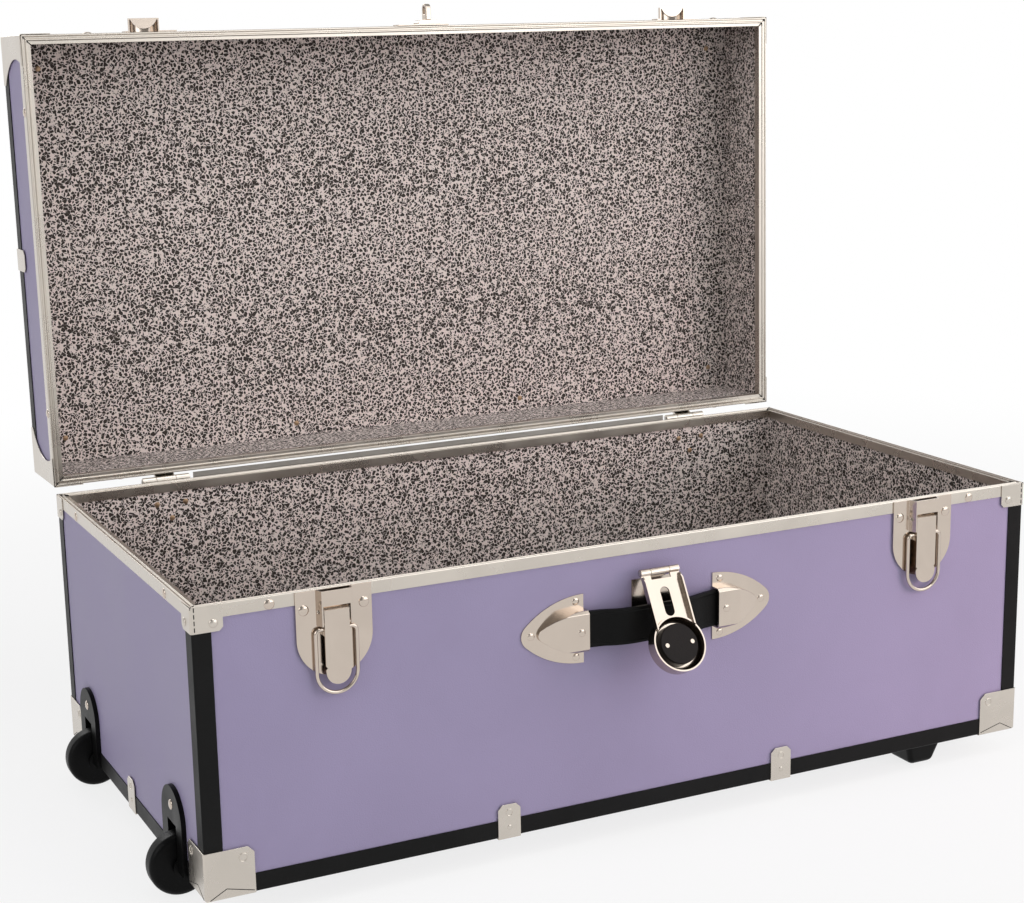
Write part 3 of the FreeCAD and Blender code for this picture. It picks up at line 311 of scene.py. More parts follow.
def uneven_gloss(tree, shader, marks, low, high):
    """Roughness between low and high, following the marks."""
    gloss = add_node(tree, "MapRange", {"To Min": low, "To Max": high})
    link(tree, marks, "Smear", gloss, "Value")
    link(tree, gloss, "Result", shader, "Roughness")


def relief(tree, shader, source, output, strength, depth):
    """A bump from one output of a node; depth in metres."""
    bump = add_node(tree, "Bump", {"Strength": strength, "Distance": depth})
    link(tree, source, output, bump, "Height")
    link(tree, bump, "Normal", shader, "Normal")


print("materials so far:", len(bpy.data.materials))

# %% [markdown]
# ## Coated board
# The panels are thin board with a coloured vinyl skin, pressed to a fine grain on the way through
# heated rollers. The grain is too small to see as a pattern, but it takes the sharpness off reflections,
# so a fine bump does it better than any drawing. The tone drifts a little from place to place.

# %% Lavender skin
SKIN = (0.305, 0.268, 0.415)


def skin_material():
    material, tree, shader = new_material("lavender_skin", SKIN, shine=0.35)
    marks = place_group(tree, MARKS, Scale=6.0, Amount=0.10)
    tint(tree, shader, SKIN, marks)
    uneven_gloss(tree, shader, marks, low=0.42, high=0.55)
    grain = place_group(tree, GRAIN, Scale=1000.0)
    relief(tree, shader, grain, "Height", strength=0.45, depth=0.0004)
    return material


FINISH = {"skin": skin_material()}
print("skin:", FINISH["skin"].name)

# %% [markdown]
# ## Lining paper
# The inside is lined with a printed paper in a common crackle pattern: dark shards of two to five
# millimetres with thin pale lines between them. A cell texture gives the shards, its distance to the
# nearest cell edge gives the lines. Two noises bend the cells and let the lines swell and thin, down to
# nothing in places, so that some shards run into each other and form branched flecks.

# %% Crackle paper
PAPER_PALE, PAPER_DARK = (0.74, 0.655, 0.62), (0.040, 0.032, 0.028)
SHARDS_PER_METRE = 300.0
BENDS_PER_METRE, BEND_DEPTH = 260.0, 0.0034
SWELLS_PER_METRE = 320.0
# Half widths of the lines and the blur of the ink's edge, as shares of the shards' spacing.
LINE_THIN, LINE_THICK, INK_BLUR = 0.0, 0.215, 0.02


def paper_material():
    material, tree, shader = new_material("crackle_paper", PAPER_PALE, shine=0.2)
    shader.inputs["Roughness"].default_value = 0.8
    place = add_node(tree, "TexCoord")
    bend = add_node(tree, "TexNoise", {"Scale": BENDS_PER_METRE, "Detail": 0.0})
    bent = add_node(tree, "VectorMath", {1: (BEND_DEPTH,) * 3}, operation="MULTIPLY_ADD")
    cells = add_node(tree, "TexVoronoi", {"Scale": SHARDS_PER_METRE}, feature="DISTANCE_TO_EDGE")
    swell = add_node(tree, "TexNoise", {"Scale": SWELLS_PER_METRE, "Detail": 1.0})
    width = add_node(tree, "MapRange", {"From Min": NOISE_LOW, "From Max": NOISE_HIGH,
                                        "To Min": LINE_THIN, "To Max": LINE_THICK})
    over = add_node(tree, "Math", operation="SUBTRACT")
    sharp = add_node(tree, "MapRange", {"From Min": -INK_BLUR, "From Max": INK_BLUR})
    ink = add_node(tree, "MixRGB", {"Color1": PAPER_PALE + (1,), "Color2": PAPER_DARK + (1,)})
    link(tree, place, "Object", bend, "Vector")
    link(tree, bend, "Color", bent, 0)
    link(tree, place, "Object", bent, 2)
    link(tree, bent, "Vector", cells, "Vector")
    link(tree, place, "Object", swell, "Vector")
    link(tree, swell, "Fac", width, "Value")
    link(tree, cells, "Distance", over, 0)
    link(tree, width, "Result", over, 1)
    link(tree, over, "Value", sharp, "Value")
    link(tree, sharp, "Result", ink, "Fac")
    link(tree, ink, "Color", shader, "Base Color")
    relief(tree, shader, place_group(tree, GRAIN, Scale=1500.0), "Height", strength=0.2, depth=0.0003)
    return material


FINISH["paper"] = paper_material()
print("paper:", FINISH["paper"].name)

# %% [markdown]
# ## Metal
# The corners, clamps and rims are thin steel with a satin nickel plate, and the latches, loops and hasp
# carry a brighter one. Pressed sheet is never quite flat, so a slow, shallow waviness bends the
# reflections, and handling leaves the shine uneven.

# %% Nickel, bright plate and plain steel


def metal_material(name, colour, low, high, waves, depth):
    """Metal with a roughness from low to high and a relief of so many waves per metre."""
    material, tree, shader = new_material(name, colour, metallic=1.0)
    marks = place_group(tree, MARKS, Scale=22.0, Amount=0.10)
    tint(tree, shader, colour, marks)
    uneven_gloss(tree, shader, marks, low, high)
    relief(tree, shader, place_group(tree, GRAIN, Scale=waves), "Height", strength=0.4, depth=depth)
    return material


FINISH["nickel"] = metal_material("satin_nickel", (0.61, 0.56, 0.50),
                                  low=0.22, high=0.34, waves=30.0, depth=0.0003)
FINISH["bright"] = metal_material("bright_plate", (0.59, 0.51, 0.44),
                                  low=0.10, high=0.20, waves=30.0, depth=0.0005)
FINISH["steel"] = metal_material("plain_steel", (0.52, 0.50, 0.48),
                                 low=0.26, high=0.40, waves=200.0, depth=0.0003)
FINISH["strip"] = metal_material("grey_strip", (0.44, 0.42, 0.40),
                                 low=0.34, high=0.48, waves=80.0, depth=0.0004)
print("finishes:", list(FINISH))

# %% [markdown]
# ## Black pieces
# The edging and corner posts are black coated strip, the wheel boots and wheels are plain black plastic,
# and the disc in the hasp is a slightly brown black. They are all low in shine, because a strong one would
# turn them grey under the pale studio.

# %% Black trim, plastics and disc


def black_material(name, colour, low, high, grains, strength):
    """Black with a roughness from low to high and so many grains per metre."""
    material, tree, shader = new_material(name, colour, shine=0.10)
    marks = place_group(tree, MARKS, Scale=18.0, Amount=0.35)
    tint(tree, shader, colour, marks)
    uneven_gloss(tree, shader, marks, low, high)
    relief(tree, shader, place_group(tree, GRAIN, Scale=grains), "Height", strength, depth=0.0004)
    return material


FINISH["black_trim"] = black_material("black_trim", (0.0085, 0.0085, 0.0085),
                                      low=0.34, high=0.48, grains=700.0, strength=0.25)
FINISH["moulding"] = black_material("black_plastic", (0.004, 0.004, 0.004),
                                    low=0.30, high=0.45, grains=900.0, strength=0.2)
FINISH["tyre"] = black_material("wheel_black", (0.004, 0.004, 0.0042),
                                low=0.30, high=0.46, grains=800.0, strength=0.25)
FINISH["disc"] = black_material("disc_black", (0.014, 0.0115, 0.011),
                                low=0.35, high=0.5, grains=600.0, strength=0.25)
print("finishes:", list(FINISH))

# %% [markdown]
# ## Strap
# The handle strap is black and grained like leather, with a thin raised line two millimetres inside each
# long edge. The line follows the height above the floor, so the Z of the object coordinates can draw it:
# the distance from the strap's middle line is compared with the line's place, and the result goes to the
# bump together with the grain.

# %% Strap black
STRAP_MIDDLE = sum(corner.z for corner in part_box("handle_strap")) / 2
STRAP_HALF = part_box("handle_strap")[1].z - STRAP_MIDDLE
STRAP_BLACK = (0.004, 0.004, 0.004)
LINE_INSET, LINE_CREST, LINE_FOOT, LINE_RISE = 0.0022, 0.0003, 0.001, 2.5


def strap_material():
    material, tree, shader = new_material("strap_black", STRAP_BLACK, shine=0.10)
    marks = place_group(tree, MARKS, Scale=30.0, Amount=0.35)
    tint(tree, shader, STRAP_BLACK, marks)
    uneven_gloss(tree, shader, marks, low=0.38, high=0.52)
    place = add_node(tree, "TexCoord")
    split = add_node(tree, "SeparateXYZ")
    middle = add_node(tree, "Math", {1: STRAP_MIDDLE}, operation="SUBTRACT")
    away = add_node(tree, "Math", operation="ABSOLUTE")
    near_line = add_node(tree, "Math", {1: STRAP_HALF - LINE_INSET}, operation="SUBTRACT")
    gap = add_node(tree, "Math", operation="ABSOLUTE")
    ridge = add_node(tree, "MapRange", {"From Min": LINE_CREST, "From Max": LINE_FOOT,
                                        "To Min": LINE_RISE, "To Max": 0.0})
    grain = place_group(tree, GRAIN, Scale=600.0)
    height = add_node(tree, "Math", operation="ADD")
    link(tree, place, "Object", split, "Vector")
    link(tree, split, "Z", middle, 0)
    link(tree, middle, 0, away, 0)
    link(tree, away, 0, near_line, 0)
    link(tree, near_line, 0, gap, 0)
    link(tree, gap, 0, ridge, "Value")
    link(tree, ridge, "Result", height, 0)
    link(tree, grain, "Height", height, 1)
    relief(tree, shader, height, 0, strength=0.6, depth=0.0004)
    return material


FINISH["strap"] = strap_material()
for node, thing in NODES.items():
    thing.data.materials.clear()
    thing.data.materials.append(FINISH[SLOT_OF[node]])
print("finishes:", len(FINISH))

# %% [markdown]
# ## Rounded edges
# Pressed and folded metal has no knife edges. Each fitting is copied from its CAD node, its triangles are
# joined back into whole faces, and its edges get a small round that catches the light. The bevel modifier
# does it in one go where all edges are alike. On sheet of 0.9 millimetres the round has to stay under half
# of that, or the narrow face between two rounds would close up.

# %% Copies of CAD nodes
WELD_WITHIN, FLAT_WITHIN = 0.000005, math.radians(1)


def select_only(piece):
    bpy.ops.object.select_all(action="DESELECT")
    piece.select_set(True)
    bpy.context.view_layer.objects.active = piece


def own_copy(node):
    """A loose copy of a CAD node, merged, without inner faces, with flat areas joined into single faces."""
    select_only(NODES[node])
    bpy.ops.object.duplicate()
    piece = bpy.context.object
    bpy.ops.object.parent_clear(type="CLEAR_KEEP_TRANSFORM")
    for key in list(piece.keys()):
        del piece[key]
    bpy.ops.object.mode_set(mode="EDIT")
    bpy.ops.mesh.select_all(action="SELECT")
    bpy.ops.mesh.remove_doubles(threshold=WELD_WITHIN)
    bpy.ops.mesh.customdata_custom_splitnormals_clear()
    bpy.ops.mesh.select_mode(type="FACE")
    bpy.ops.mesh.select_all(action="DESELECT")
    bpy.ops.mesh.select_interior_faces()
    bpy.ops.mesh.delete(type="FACE")
    bpy.ops.mesh.select_all(action="SELECT")
    bpy.ops.mesh.dissolve_limited(angle_limit=FLAT_WITHIN)
    bpy.ops.mesh.normals_make_consistent(inside=False)
    bpy.ops.object.mode_set(mode="OBJECT")
    return piece


def loose_boxes(node):
    """Lowest and highest corner of each separate solid in a CAD node."""
    piece = own_copy(node)
    bpy.ops.object.mode_set(mode="EDIT")
    bpy.ops.mesh.select_all(action="SELECT")
    bpy.ops.mesh.separate(type="LOOSE")
    bpy.ops.object.mode_set(mode="OBJECT")
    boxes = []
    for part in bpy.context.selected_objects:
        points = [vertex.co for vertex in part.data.vertices]
        boxes.append([Vector([pick(p[i] for p in points) for i in range(3)]) for pick in (min, max)])
    bpy.ops.object.delete()
    return boxes


CLAMP_BOXES = loose_boxes("base_edge_clamps")
print("clamps:", len(CLAMP_BOXES))

# %% Finishing helpers
SMOOTH_BELOW, ROUND_ABOVE = math.radians(38), math.radians(28)
ZERO_SIZE = 0.000002


def smooth(piece):
    """Smooth shading in which a flat face stays flat beside its rounded edges."""
    select_only(piece)
    bpy.ops.object.shade_smooth_by_angle(angle=SMOOTH_BELOW)
    bpy.ops.object.modifier_add(type="WEIGHTED_NORMAL")
    weighted = piece.modifiers[-1]
    weighted.keep_sharp = True
    bpy.ops.object.modifier_apply(modifier=weighted.name)


def round_edges(piece, width, segments=2):
    """A bevel of this width in metres on every edge that is bent enough."""
    select_only(piece)
    bpy.ops.object.modifier_add(type="BEVEL")
    bevel = piece.modifiers[-1]
    bevel.width = width
    bevel.segments = segments
    bevel.limit_method = "ANGLE"
    bevel.angle_limit = ROUND_ABOVE
    bpy.ops.object.modifier_apply(modifier=bevel.name)


def dress(piece, name, slot_name, body, finish=None):
    """Name a finished piece and give it its finish and the body that it moves with."""
    piece.name = piece.data.name = name
    piece.data.materials.clear()
    piece.data.materials.append(FINISH[finish or slot_name])
    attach(piece, body)


def stand_in(piece, node):
    """A finished piece takes the place of one CAD node."""
    select_only(piece)
    bpy.ops.object.mode_set(mode="EDIT")
    bpy.ops.mesh.select_all(action="SELECT")
    bpy.ops.mesh.dissolve_degenerate(threshold=ZERO_SIZE)
    bpy.ops.object.mode_set(mode="OBJECT")
    smooth(piece)
    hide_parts(node)
    dress(piece, node + "_dressed", SLOT_OF[node], BODY_OF[node])


print("round from", math.degrees(ROUND_ABOVE), "degrees, smooth to", math.degrees(SMOOTH_BELOW))

# %% Round the fittings
FINE, MEDIUM, SOFT = 0.00025, 0.00035, 0.0008
EDGE_ROUNDS = {
    FINE: ("base_rim", "lid_rim", "hasp_leaf", "hinge_base_leaves", "hinge_lid_leaves", "base_bottom_edging",
           "lid_edging", "base_corner_posts", "hasp_disc_rivets"),
    MEDIUM: ("base_corner_caps", "base_rim_corners", "lid_corners", "base_edge_clamps", "lid_edge_clamps",
             "latch_plate_left", "latch_plate_right", "latch_lever_left", "latch_lever_right",
             "lid_catch_left", "lid_catch_right", "lid_staple_plate"),
    SOFT: ("hasp_disc", "handle_strap", "wheel_housing_front", "wheel_housing_rear", "lid_staple"),
}
for width, fittings in EDGE_ROUNDS.items():
    for node in fittings:
        fitting = own_copy(node)
        round_edges(fitting, width, segments=3 if width == SOFT else 2)
        stand_in(fitting, node)
print("rounded:", sum(len(fittings) for fittings in EDGE_ROUNDS.values()))

# %% [markdown]
# ## Pieces with larger rounds
# Some edges are much rounder than the rest: the tread of a wheel, the foot of a glide, the dome of a handle
# loop and the bottom of the hasp's dish. Each of these is picked by its place and beveled by hand with more
# segments.

# %% Wheels and glides
TREAD_FROM, TREAD_ROUND, GLIDE_ROUND = 0.02, 0.005, 0.0045
SAME_PLACE = 1e-5


def bevel_edges(piece, chosen, offset, segments):
    """Round the edges for which chosen(first end, second end) is true."""
    select_only(piece)
    bpy.ops.object.mode_set(mode="EDIT")
    bpy.ops.mesh.select_mode(type="EDGE")
    bpy.ops.mesh.select_all(action="DESELECT")
    bpy.ops.object.mode_set(mode="OBJECT")
    points = [vertex.co.copy() for vertex in piece.data.vertices]
    count = 0
    for edge in piece.data.edges:
        edge.select = chosen(*(points[end] for end in edge.vertices))
        count += edge.select
    bpy.ops.object.mode_set(mode="EDIT")
    bpy.ops.mesh.bevel(offset=offset, segments=segments, affect="EDGES", clamp_overlap=True)
    bpy.ops.mesh.select_all(action="SELECT")
    bpy.ops.mesh.normals_make_consistent(inside=False)
    bpy.ops.object.mode_set(mode="OBJECT")
    return count


for side in ("front", "rear"):
    wheel = own_copy("wheel_" + side)
    low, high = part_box("wheel_" + side)
    axle = (low + high) / 2

    def on_rim(a, b):
        far = min(math.hypot(p.x - axle.x, p.z - axle.z) for p in (a, b))
        return far > TREAD_FROM and abs(a.y - b.y) < SAME_PLACE

    print("wheel", side, bevel_edges(wheel, on_rim, TREAD_ROUND, segments=5), "edges")
    stand_in(wheel, "wheel_" + side)
for side in ("front", "rear"):
    glide = own_copy("glide_" + side)
    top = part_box("glide_" + side)[1].z
    count = bevel_edges(glide, lambda a, b: min(a.z, b.z) < top / 2, GLIDE_ROUND, segments=4)
    print("glide", side, count, "edges")
    stand_in(glide, "glide_" + side)

# %% Handle loops
# The strap's pocket lies this deep behind the dome's front. Edges within DOME_START of the back stay sharp.
POCKET_DEEP, DOME_START, DOME_ROUND = 0.0021, 0.0022, 0.0016
ON_POCKET, PAST_MOUTH = 5e-5, 1e-4
for side in ("left", "right"):
    loop = own_copy("handle_loop_" + side)
    low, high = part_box("handle_loop_" + side)
    mouth = min(abs(low.x), abs(high.x))
    pocket = low.y + POCKET_DEEP

    def on_dome(a, b):
        outer = max(abs(p.y - pocket) for p in (a, b)) > ON_POCKET
        past_mouth = max(abs(a.x), abs(b.x)) > mouth + PAST_MOUTH
        return max(a.y, b.y) < high.y - DOME_START and outer and past_mouth

    print("loop", side, bevel_edges(loop, on_dome, DOME_ROUND, segments=4), "edges")
    stand_in(loop, "handle_loop_" + side)

# %% Hasp dish
# The hasp hangs from its pin, tilted by thirty degrees. The sizes are those of the dish before the tilt.
HASP_PIN = Vector((0.004, -0.208, 0.2255))
TILT_BACK = Matrix.Rotation(math.radians(30), 3, "X")
DISH_FLOOR, DISH_DROP, DISH_RADIUS, DISH_ROUND = 0.0067, 0.061, 0.0215, 0.004
NEAR_FLOOR, NEAR_RADIUS = 3e-4, 6e-4
hasp = own_copy("hasp_plate")


def on_dish_floor(a, b):
    flat = [TILT_BACK @ (p - HASP_PIN) for p in (a, b)]
    level = all(abs(p.y - DISH_FLOOR) < NEAR_FLOOR for p in flat)
    return level and all(abs(math.hypot(p.x, p.z + DISH_DROP) - DISH_RADIUS) < NEAR_RADIUS for p in flat)


print("dish", bevel_edges(hasp, on_dish_floor, DISH_ROUND, segments=6), "edges")
round_edges(hasp, FINE)
stand_in(hasp, "hasp_plate")

# %% [markdown]
# ## Rivets
# The CAD rivets are plain prisms that mark place and size. A real head is a shallow dome, so one dome is cut
# from a sphere and copied to the place of each prism, turned to the side that the prism stands out from.

# %% One dome to copy from


def dome_master():
    """The upper half of a sphere of radius one, closed at its foot."""
    bpy.ops.object.select_all(action="DESELECT")
    bpy.ops.mesh.primitive_uv_sphere_add(segments=20, ring_count=12, radius=1)
    bpy.ops.object.mode_set(mode="EDIT")
    bpy.ops.mesh.select_all(action="SELECT")
    bpy.ops.mesh.bisect(plane_co=(0, 0, 0), plane_no=(0, 0, 1), clear_inner=True, use_fill=True)
    bpy.ops.object.mode_set(mode="OBJECT")
    return bpy.context.object


def copy_at(master, place, outward, radius, rise):
    """A copy of a unit-size head, scaled, with its foot at place and its top turned outward."""
    select_only(master)
    bpy.ops.object.duplicate()
    head = bpy.context.object
    head.location = place
    head.rotation_euler = Vector(outward).to_track_quat("Z", "Y").to_euler()
    head.scale = (radius, radius, rise)
    bpy.ops.object.transform_apply(location=True, rotation=True, scale=True)
    return head


def join(pieces):
    bpy.ops.object.select_all(action="DESELECT")
    for piece in pieces:
        piece.select_set(True)
    bpy.context.view_layer.objects.active = pieces[0]
    bpy.ops.object.join()
    return bpy.context.object


DOME = dome_master()
print("dome:", len(DOME.data.polygons), "faces")

# %% Rivet domes
SUNK, DOME_RISE = 0.0001, 0.8
MIDDLE = {body: sum(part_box(body + "_lining"), Vector()) / 2 for body in ("base", "lid")}
for node in ("base_rivets", "handle_rivets", "lid_rivets"):
    domes = []
    for low, high in loose_boxes(node):
        size, centre = high - low, (low + high) / 2
        axis = min(range(3), key=lambda i: size[i])
        side = 1 if centre[axis] > MIDDLE[BODY_OF[node]][axis] else -1
        outward = Vector([side if i == axis else 0 for i in range(3)])
        foot = centre - outward * (size[axis] / 2 + SUNK)
        domes.append(copy_at(DOME, foot, outward, max(size) / 2, size[axis] * DOME_RISE))
    print(node, len(domes))
    stand_in(join(domes), node)

# %% [markdown]
# ## Latch bails
# The bail is one length of round wire: its ends turn in the lever's ears and its bow closes over the catch
# on the lid. It is drawn as the wire would be bent: a ring of points starts at one end and is extruded along
# the straights and spun round the bends, so the section stays round all the way.

# %% Wire bails


def push(dx, dz):
    """Extrude the wire's end in a straight line."""
    bpy.ops.mesh.extrude_region_move(TRANSFORM_OT_translate={"value": (dx, 0, dz)})


def bend(angle, steps, centre):
    """Spin the wire's end round a centre, about the Y axis."""
    bpy.ops.mesh.spin(steps=steps, angle=math.radians(angle), center=centre, axis=(0, 1, 0))


# Radius of the wire, half the gap between its two ends, radius of its corners, and half the CAD wire's width.
WIRE, STUB, CORNER, CAD_WIRE_HALF = 0.0016, 0.0076, 0.004, 0.00142
for side in ("left", "right"):
    node = "latch_bail_" + side
    low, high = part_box(node)
    x, y = (low.x + high.x) / 2, (low.y + high.y) / 2
    half = (high.x - low.x) / 2 - CAD_WIRE_HALF
    top, bow = high.z - WIRE, low.z + CAD_WIRE_HALF + half
    bpy.ops.object.select_all(action="DESELECT")
    bpy.ops.mesh.primitive_circle_add(vertices=14, radius=WIRE, fill_type="NGON", location=(x - STUB, y, top),
                                      rotation=(0, math.radians(90), 0))
    bail = bpy.context.object
    bpy.ops.object.transform_apply(location=True, rotation=True, scale=True)
    bpy.ops.object.mode_set(mode="EDIT")
    bpy.ops.mesh.select_all(action="SELECT")
    push(-(half - CORNER - STUB), 0)
    bend(90, 6, (x - half + CORNER, y, top - CORNER))
    push(0, bow - top + CORNER)
    bend(180, 24, (x, y, bow))
    push(0, top - CORNER - bow)
    bend(90, 6, (x + half - CORNER, y, top - CORNER))
    push(-(half - CORNER - STUB), 0)
    bpy.ops.mesh.select_all(action="SELECT")
    bpy.ops.mesh.remove_doubles(threshold=SAME_PLACE)
    bpy.ops.mesh.normals_make_consistent(inside=False)
    bpy.ops.object.mode_set(mode="OBJECT")
    stand_in(bail, node)
    print(node, len(bail.data.vertices), "points")

# %% [markdown]
# ## Pressed details
# Each bottom cap is folded from sheet: a flap is turned up from below, and the shade under its edge is
# painted as a fine black seam. A pressed ring marks the rivet that holds the cap. The clamps along the bottom
# edges have the same ring and a small rivet under it. The rim plates meet at the corner in a row of small
# tabs, with the shade in the gaps between them painted as black strips, and each side has a rivet. One ring
# and one bar are modelled and then copied to every place.

# %% Ring and bar to copy from


def ring_master():
    """The upper half of a ring of radius one, as it stands out of the sheet."""
    bpy.ops.object.select_all(action="DESELECT")
    bpy.ops.mesh.primitive_torus_add(major_radius=1, minor_radius=0.12, major_segments=28, minor_segments=8)
    bpy.ops.object.mode_set(mode="EDIT")
    bpy.ops.mesh.select_all(action="SELECT")
    bpy.ops.mesh.bisect(plane_co=(0, 0, 0), plane_no=(0, 0, 1), clear_inner=True, use_fill=True)
    bpy.ops.object.mode_set(mode="OBJECT")
    return bpy.context.object


def bar_master():
    """A unit bar with softened edges, to be scaled to a seam."""
    bpy.ops.object.select_all(action="DESELECT")
    bpy.ops.mesh.primitive_cube_add(size=1)
    bpy.ops.object.mode_set(mode="EDIT")
    bpy.ops.mesh.select_all(action="SELECT")
    bpy.ops.mesh.bevel(offset=0.12, segments=2, affect="EDGES")
    bpy.ops.object.mode_set(mode="OBJECT")
    return bpy.context.object


# Each copy is a black strip that paints the shade in a narrow gap or under a fold's edge.
def seam_between(start, end, width, face, depth=0.0002):
    """A thin copy of the bar along a line on a flat face; face is the outward direction."""
    along = end - start
    axes = Matrix((along.normalized(), face.cross(along).normalized(), face)).transposed().to_4x4()
    select_only(BAR)
    bpy.ops.object.duplicate()
    seam = bpy.context.object
    seam.matrix_world = Matrix.Translation((start + end) / 2) @ axes
    seam.scale = (along.length + width, width, depth)
    bpy.ops.object.transform_apply(location=True, rotation=True, scale=True)
    return seam


RING, BAR = ring_master(), bar_master()
print("ring:", len(RING.data.polygons), "faces, bar:", len(BAR.data.polygons), "faces")

# %% Caps and rim plates
CAP_LOW, CAP_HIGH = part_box("base_corner_caps")
PLATE_LOW, PLATE_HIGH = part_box("base_rim_corners")
# Places are metres from a corner, inward along the face and up.
CAP_RING_AT, CAP_RING = (0.031, 0.031), 0.0032
FOLD_LINE = ((0.004, 0.0015), (0.017, 0.0085), (0.0385, 0.003))
FRONT_RIVET_IN, END_RIVET_IN, RIVET_UP = 0.0175, 0.014, 0.0065
RIVET_RADIUS, RIVET_RISE = 0.0034, 0.0014
TABS, TAB_IN, TAB_FOOT, TAB_PITCH, TAB_LONG = 4, 0.0032, 0.002, 0.005, 0.0026
# Widths of the black strips that paint shade: under a fold's edge, in the mitre cuts and in the gaps between
# the tabs.
SEAM_WIDE, TAB_WIDE, PROUD = 0.0006, 0.0008, 0.00002
rings, shade_strips, heads = [], [], []
for sx in (-1, 1):
    for sy in (-1, 1):
        cap = Vector((CAP_HIGH.x * sx, CAP_HIGH.y * sy, CAP_LOW.z))
        plate = Vector((PLATE_HIGH.x * sx, PLATE_HIGH.y * sy, PLATE_LOW.z))
        for face, across, rivet_in in ((Vector((0, sy, 0)), Vector((-sx, 0, 0)), FRONT_RIVET_IN),
                                       (Vector((sx, 0, 0)), Vector((0, -sy, 0)), END_RIVET_IN)):

            def beside(corner, inward, up):
                return corner + across * inward + Vector((0, 0, up)) + face * PROUD

            rings.append(copy_at(RING, beside(cap, *CAP_RING_AT), face, CAP_RING, CAP_RING))
            # Painted shadow: a black strip along the edge of the folded flap.
            fold = [beside(cap, *at) for at in FOLD_LINE]
            shade_strips.append(seam_between(fold[0], fold[1], SEAM_WIDE, face))
            shade_strips.append(seam_between(fold[1], fold[2], SEAM_WIDE, face))
            head_at = beside(plate, rivet_in, RIVET_UP)
            heads.append(copy_at(DOME, head_at, face, RIVET_RADIUS, RIVET_RISE))
            # Painted shade: black strips in the gaps between the rim plate's tabs.
            for step in range(TABS if face.y else 0):
                foot = beside(plate, TAB_IN, TAB_FOOT + TAB_PITCH * step)
                shade_strips.append(seam_between(foot, foot + Vector((0, 0, TAB_LONG)), TAB_WIDE, face))
print(len(rings), "rings", len(shade_strips), "shade_strips", len(heads), "rivets")

# %% Clamps
CLAMP_RING, CLAMP_RIVET, CLAMP_RIVET_RISE = 0.0028, 0.0021, 0.0007
# How far a clamp on a long side may stand inside the caps' faces.
SIDE_WITHIN = 0.004
# Places as shares of a clamp's height, from its top.
RING_DOWN, RIVET_DOWN = 0.24, 0.67
for low, high in CLAMP_BOXES:
    axis = 1 if max(abs(low.y), abs(high.y)) > CAP_HIGH.y - SIDE_WITHIN else 0
    spot = (low + high) / 2
    face = Vector((0, 0, 0))
    face[axis] = math.copysign(1, spot[axis])
    spot[axis] = high[axis] if spot[axis] > 0 else low[axis]
    tall = high.z - low.z
    ring_at = Vector((spot.x, spot.y, high.z - RING_DOWN * tall))
    head_at = Vector((spot.x, spot.y, high.z - RIVET_DOWN * tall))
    rings.append(copy_at(RING, ring_at, face, CLAMP_RING, CLAMP_RING))
    heads.append(copy_at(DOME, head_at, face, CLAMP_RIVET, CLAMP_RIVET_RISE))
# The seam strips are painted shade, black strips where only shadow falls in a gap or under a fold.
for pieces, name, slot_name in ((rings, "pressed_rings", "nickel"), (shade_strips, "corner_shade_strips", "black_trim"),
                                (heads, "small_rivets", "nickel")):
    whole = join(pieces)
    smooth(whole)
    dress(whole, name, slot_name, "base")
    print(name, len(whole.data.polygons), "faces")

# %% [markdown]
# ## Mitres
# The rims are bent from four lengths of beaded strip that meet at the corners at forty-five degrees. The
# shade in the cut is painted as a fine black line across the beads. The open lid leans back a little past
# upright, so its lines follow that lean.

# %% Mitre lines of painted shade
LID_LEAN = math.radians(1.2)
LID_FACE = Vector((0, -math.cos(LID_LEAN), math.sin(LID_LEAN)))
RIM_ACROSS, RIM_DEEP = 0.0084, 0.0024
RIM_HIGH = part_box("base_rim")[1]
LID_RIM_LOW, LID_RIM_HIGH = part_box("lid_rim")
# Black strips that paint the shade in each mitre cut.
mitre_shade = {"base": [], "lid": []}
for sx in (-1, 1):
    for sy in (-1, 1):
        outer = Vector((RIM_HIGH.x * sx, RIM_HIGH.y * sy, RIM_HIGH.z - RIM_DEEP / 2))
        inner = outer - Vector((sx, sy, 0)) * RIM_ACROSS
        mitre_shade["base"].append(seam_between(outer, inner, SEAM_WIDE, Vector((0, 0, 1)), RIM_DEEP))
    for z, inward in ((LID_RIM_LOW.z, RIM_ACROSS), (LID_RIM_HIGH.z, -RIM_ACROSS)):
        front = LID_RIM_LOW.y + math.tan(LID_LEAN) * (z - LID_RIM_LOW.z)
        outer = Vector((LID_RIM_HIGH.x * sx, front, z)) - LID_FACE * RIM_DEEP / 2
        inner = outer + Vector((-sx * RIM_ACROSS, math.tan(LID_LEAN) * inward, inward))
        mitre_shade["lid"].append(seam_between(outer, inner, SEAM_WIDE, LID_FACE, RIM_DEEP))
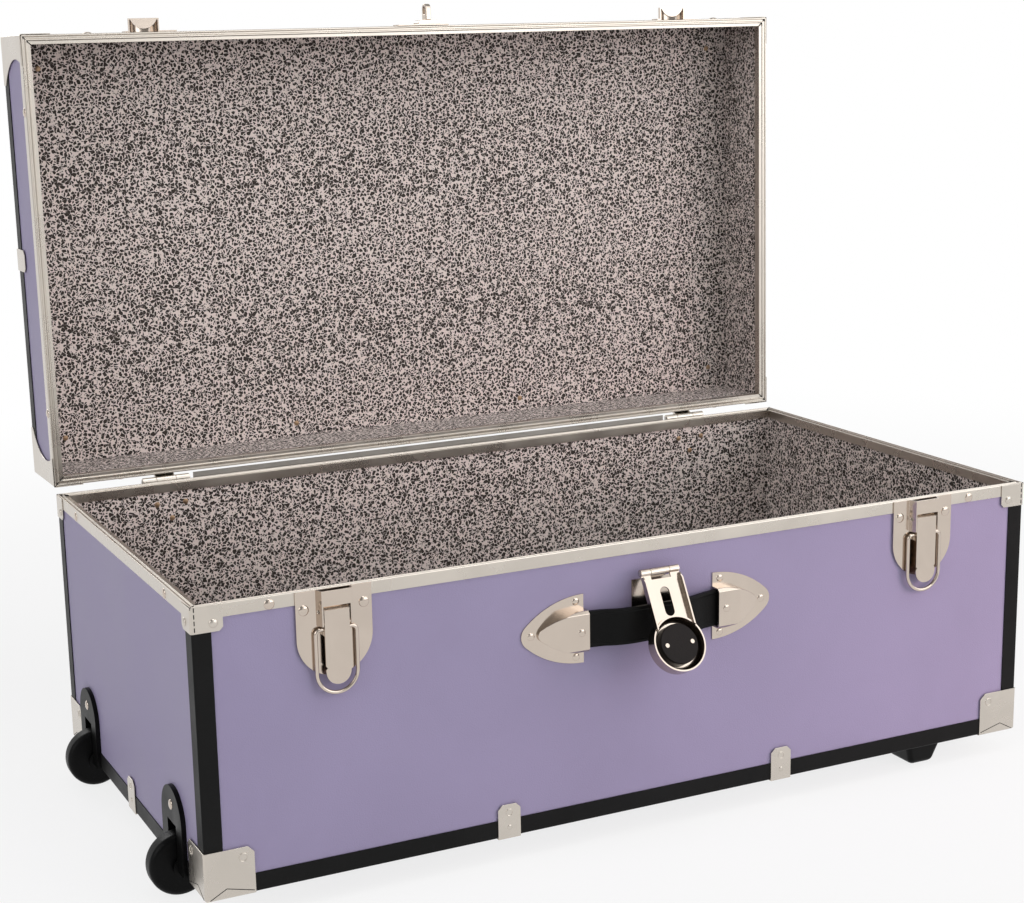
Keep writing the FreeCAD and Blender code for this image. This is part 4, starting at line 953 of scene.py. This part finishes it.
for body, pieces in mitre_shade.items():
    whole = join(pieces)
    smooth(whole)
    dress(whole, body + "_mitre_shade_lines", "black_trim", body)
    print(whole.name, len(pieces))

# %% [markdown]
# ## Clinched rivet tails
# Inside, the rivets of the hinges and of the lid's fittings are hammered flat against the paper. They show as
# small brownish spots: three below each hinge, one near each corner of the lid and two along its back edge.

# %% Rivet tails inside
FINISH["tail"] = metal_material("browned_steel", (0.40, 0.27, 0.17),
                                low=0.4, high=0.55, waves=300.0, depth=0.0004)
PAPER_THICK, HALF_HINGE = 0.0006, 0.0235
TAIL_RADIUS, TAIL_RISE = 0.0026, 0.0009
# Aside from a hinge's middle, and down from the top of the lining.
HINGE_TAILS = ((-0.0135, 0.018), (0.0135, 0.018), (0.0, 0.032))
# Aside from the lid's middle, and in from the edge of its lining.
CORNER_ASIDE, CORNER_IN, BACK_ASIDE, BACK_IN = 0.352, 0.0235, 0.123, 0.013
BASE_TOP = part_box("base_lining")[1]
LID_LOW, LID_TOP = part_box("lid_lining")
HINGE_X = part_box("hinge_pins")[1].x - HALF_HINGE
below_hinges, in_lid = [], []
for sx in (-1, 1):
    for aside, drop in HINGE_TAILS:
        spot = Vector((HINGE_X * sx + aside, BASE_TOP.y - PAPER_THICK + SUNK, BASE_TOP.z - drop))
        below_hinges.append(copy_at(DOME, spot, (0, -1, 0), TAIL_RADIUS, TAIL_RISE))
    low_z, high_z = LID_LOW.z + CORNER_IN, LID_TOP.z - CORNER_IN
    for x, z in ((CORNER_ASIDE, low_z), (CORNER_ASIDE, high_z), (BACK_ASIDE, LID_LOW.z + BACK_IN)):
        back = LID_TOP.y - PAPER_THICK - math.tan(LID_LEAN) * (LID_TOP.z - z)
        in_lid.append(copy_at(DOME, Vector((x * sx, back + SUNK, z)), LID_FACE, TAIL_RADIUS, TAIL_RISE))
for pieces, name, body in ((below_hinges, "hinge_rivet_tails", "base"),
                           (in_lid, "lid_rivet_tails", "lid")):
    whole = join(pieces)
    smooth(whole)
    dress(whole, name, "steel", body, "tail")
    print(name, len(pieces))
for master in (DOME, RING, BAR):
    select_only(master)
    bpy.ops.object.delete()
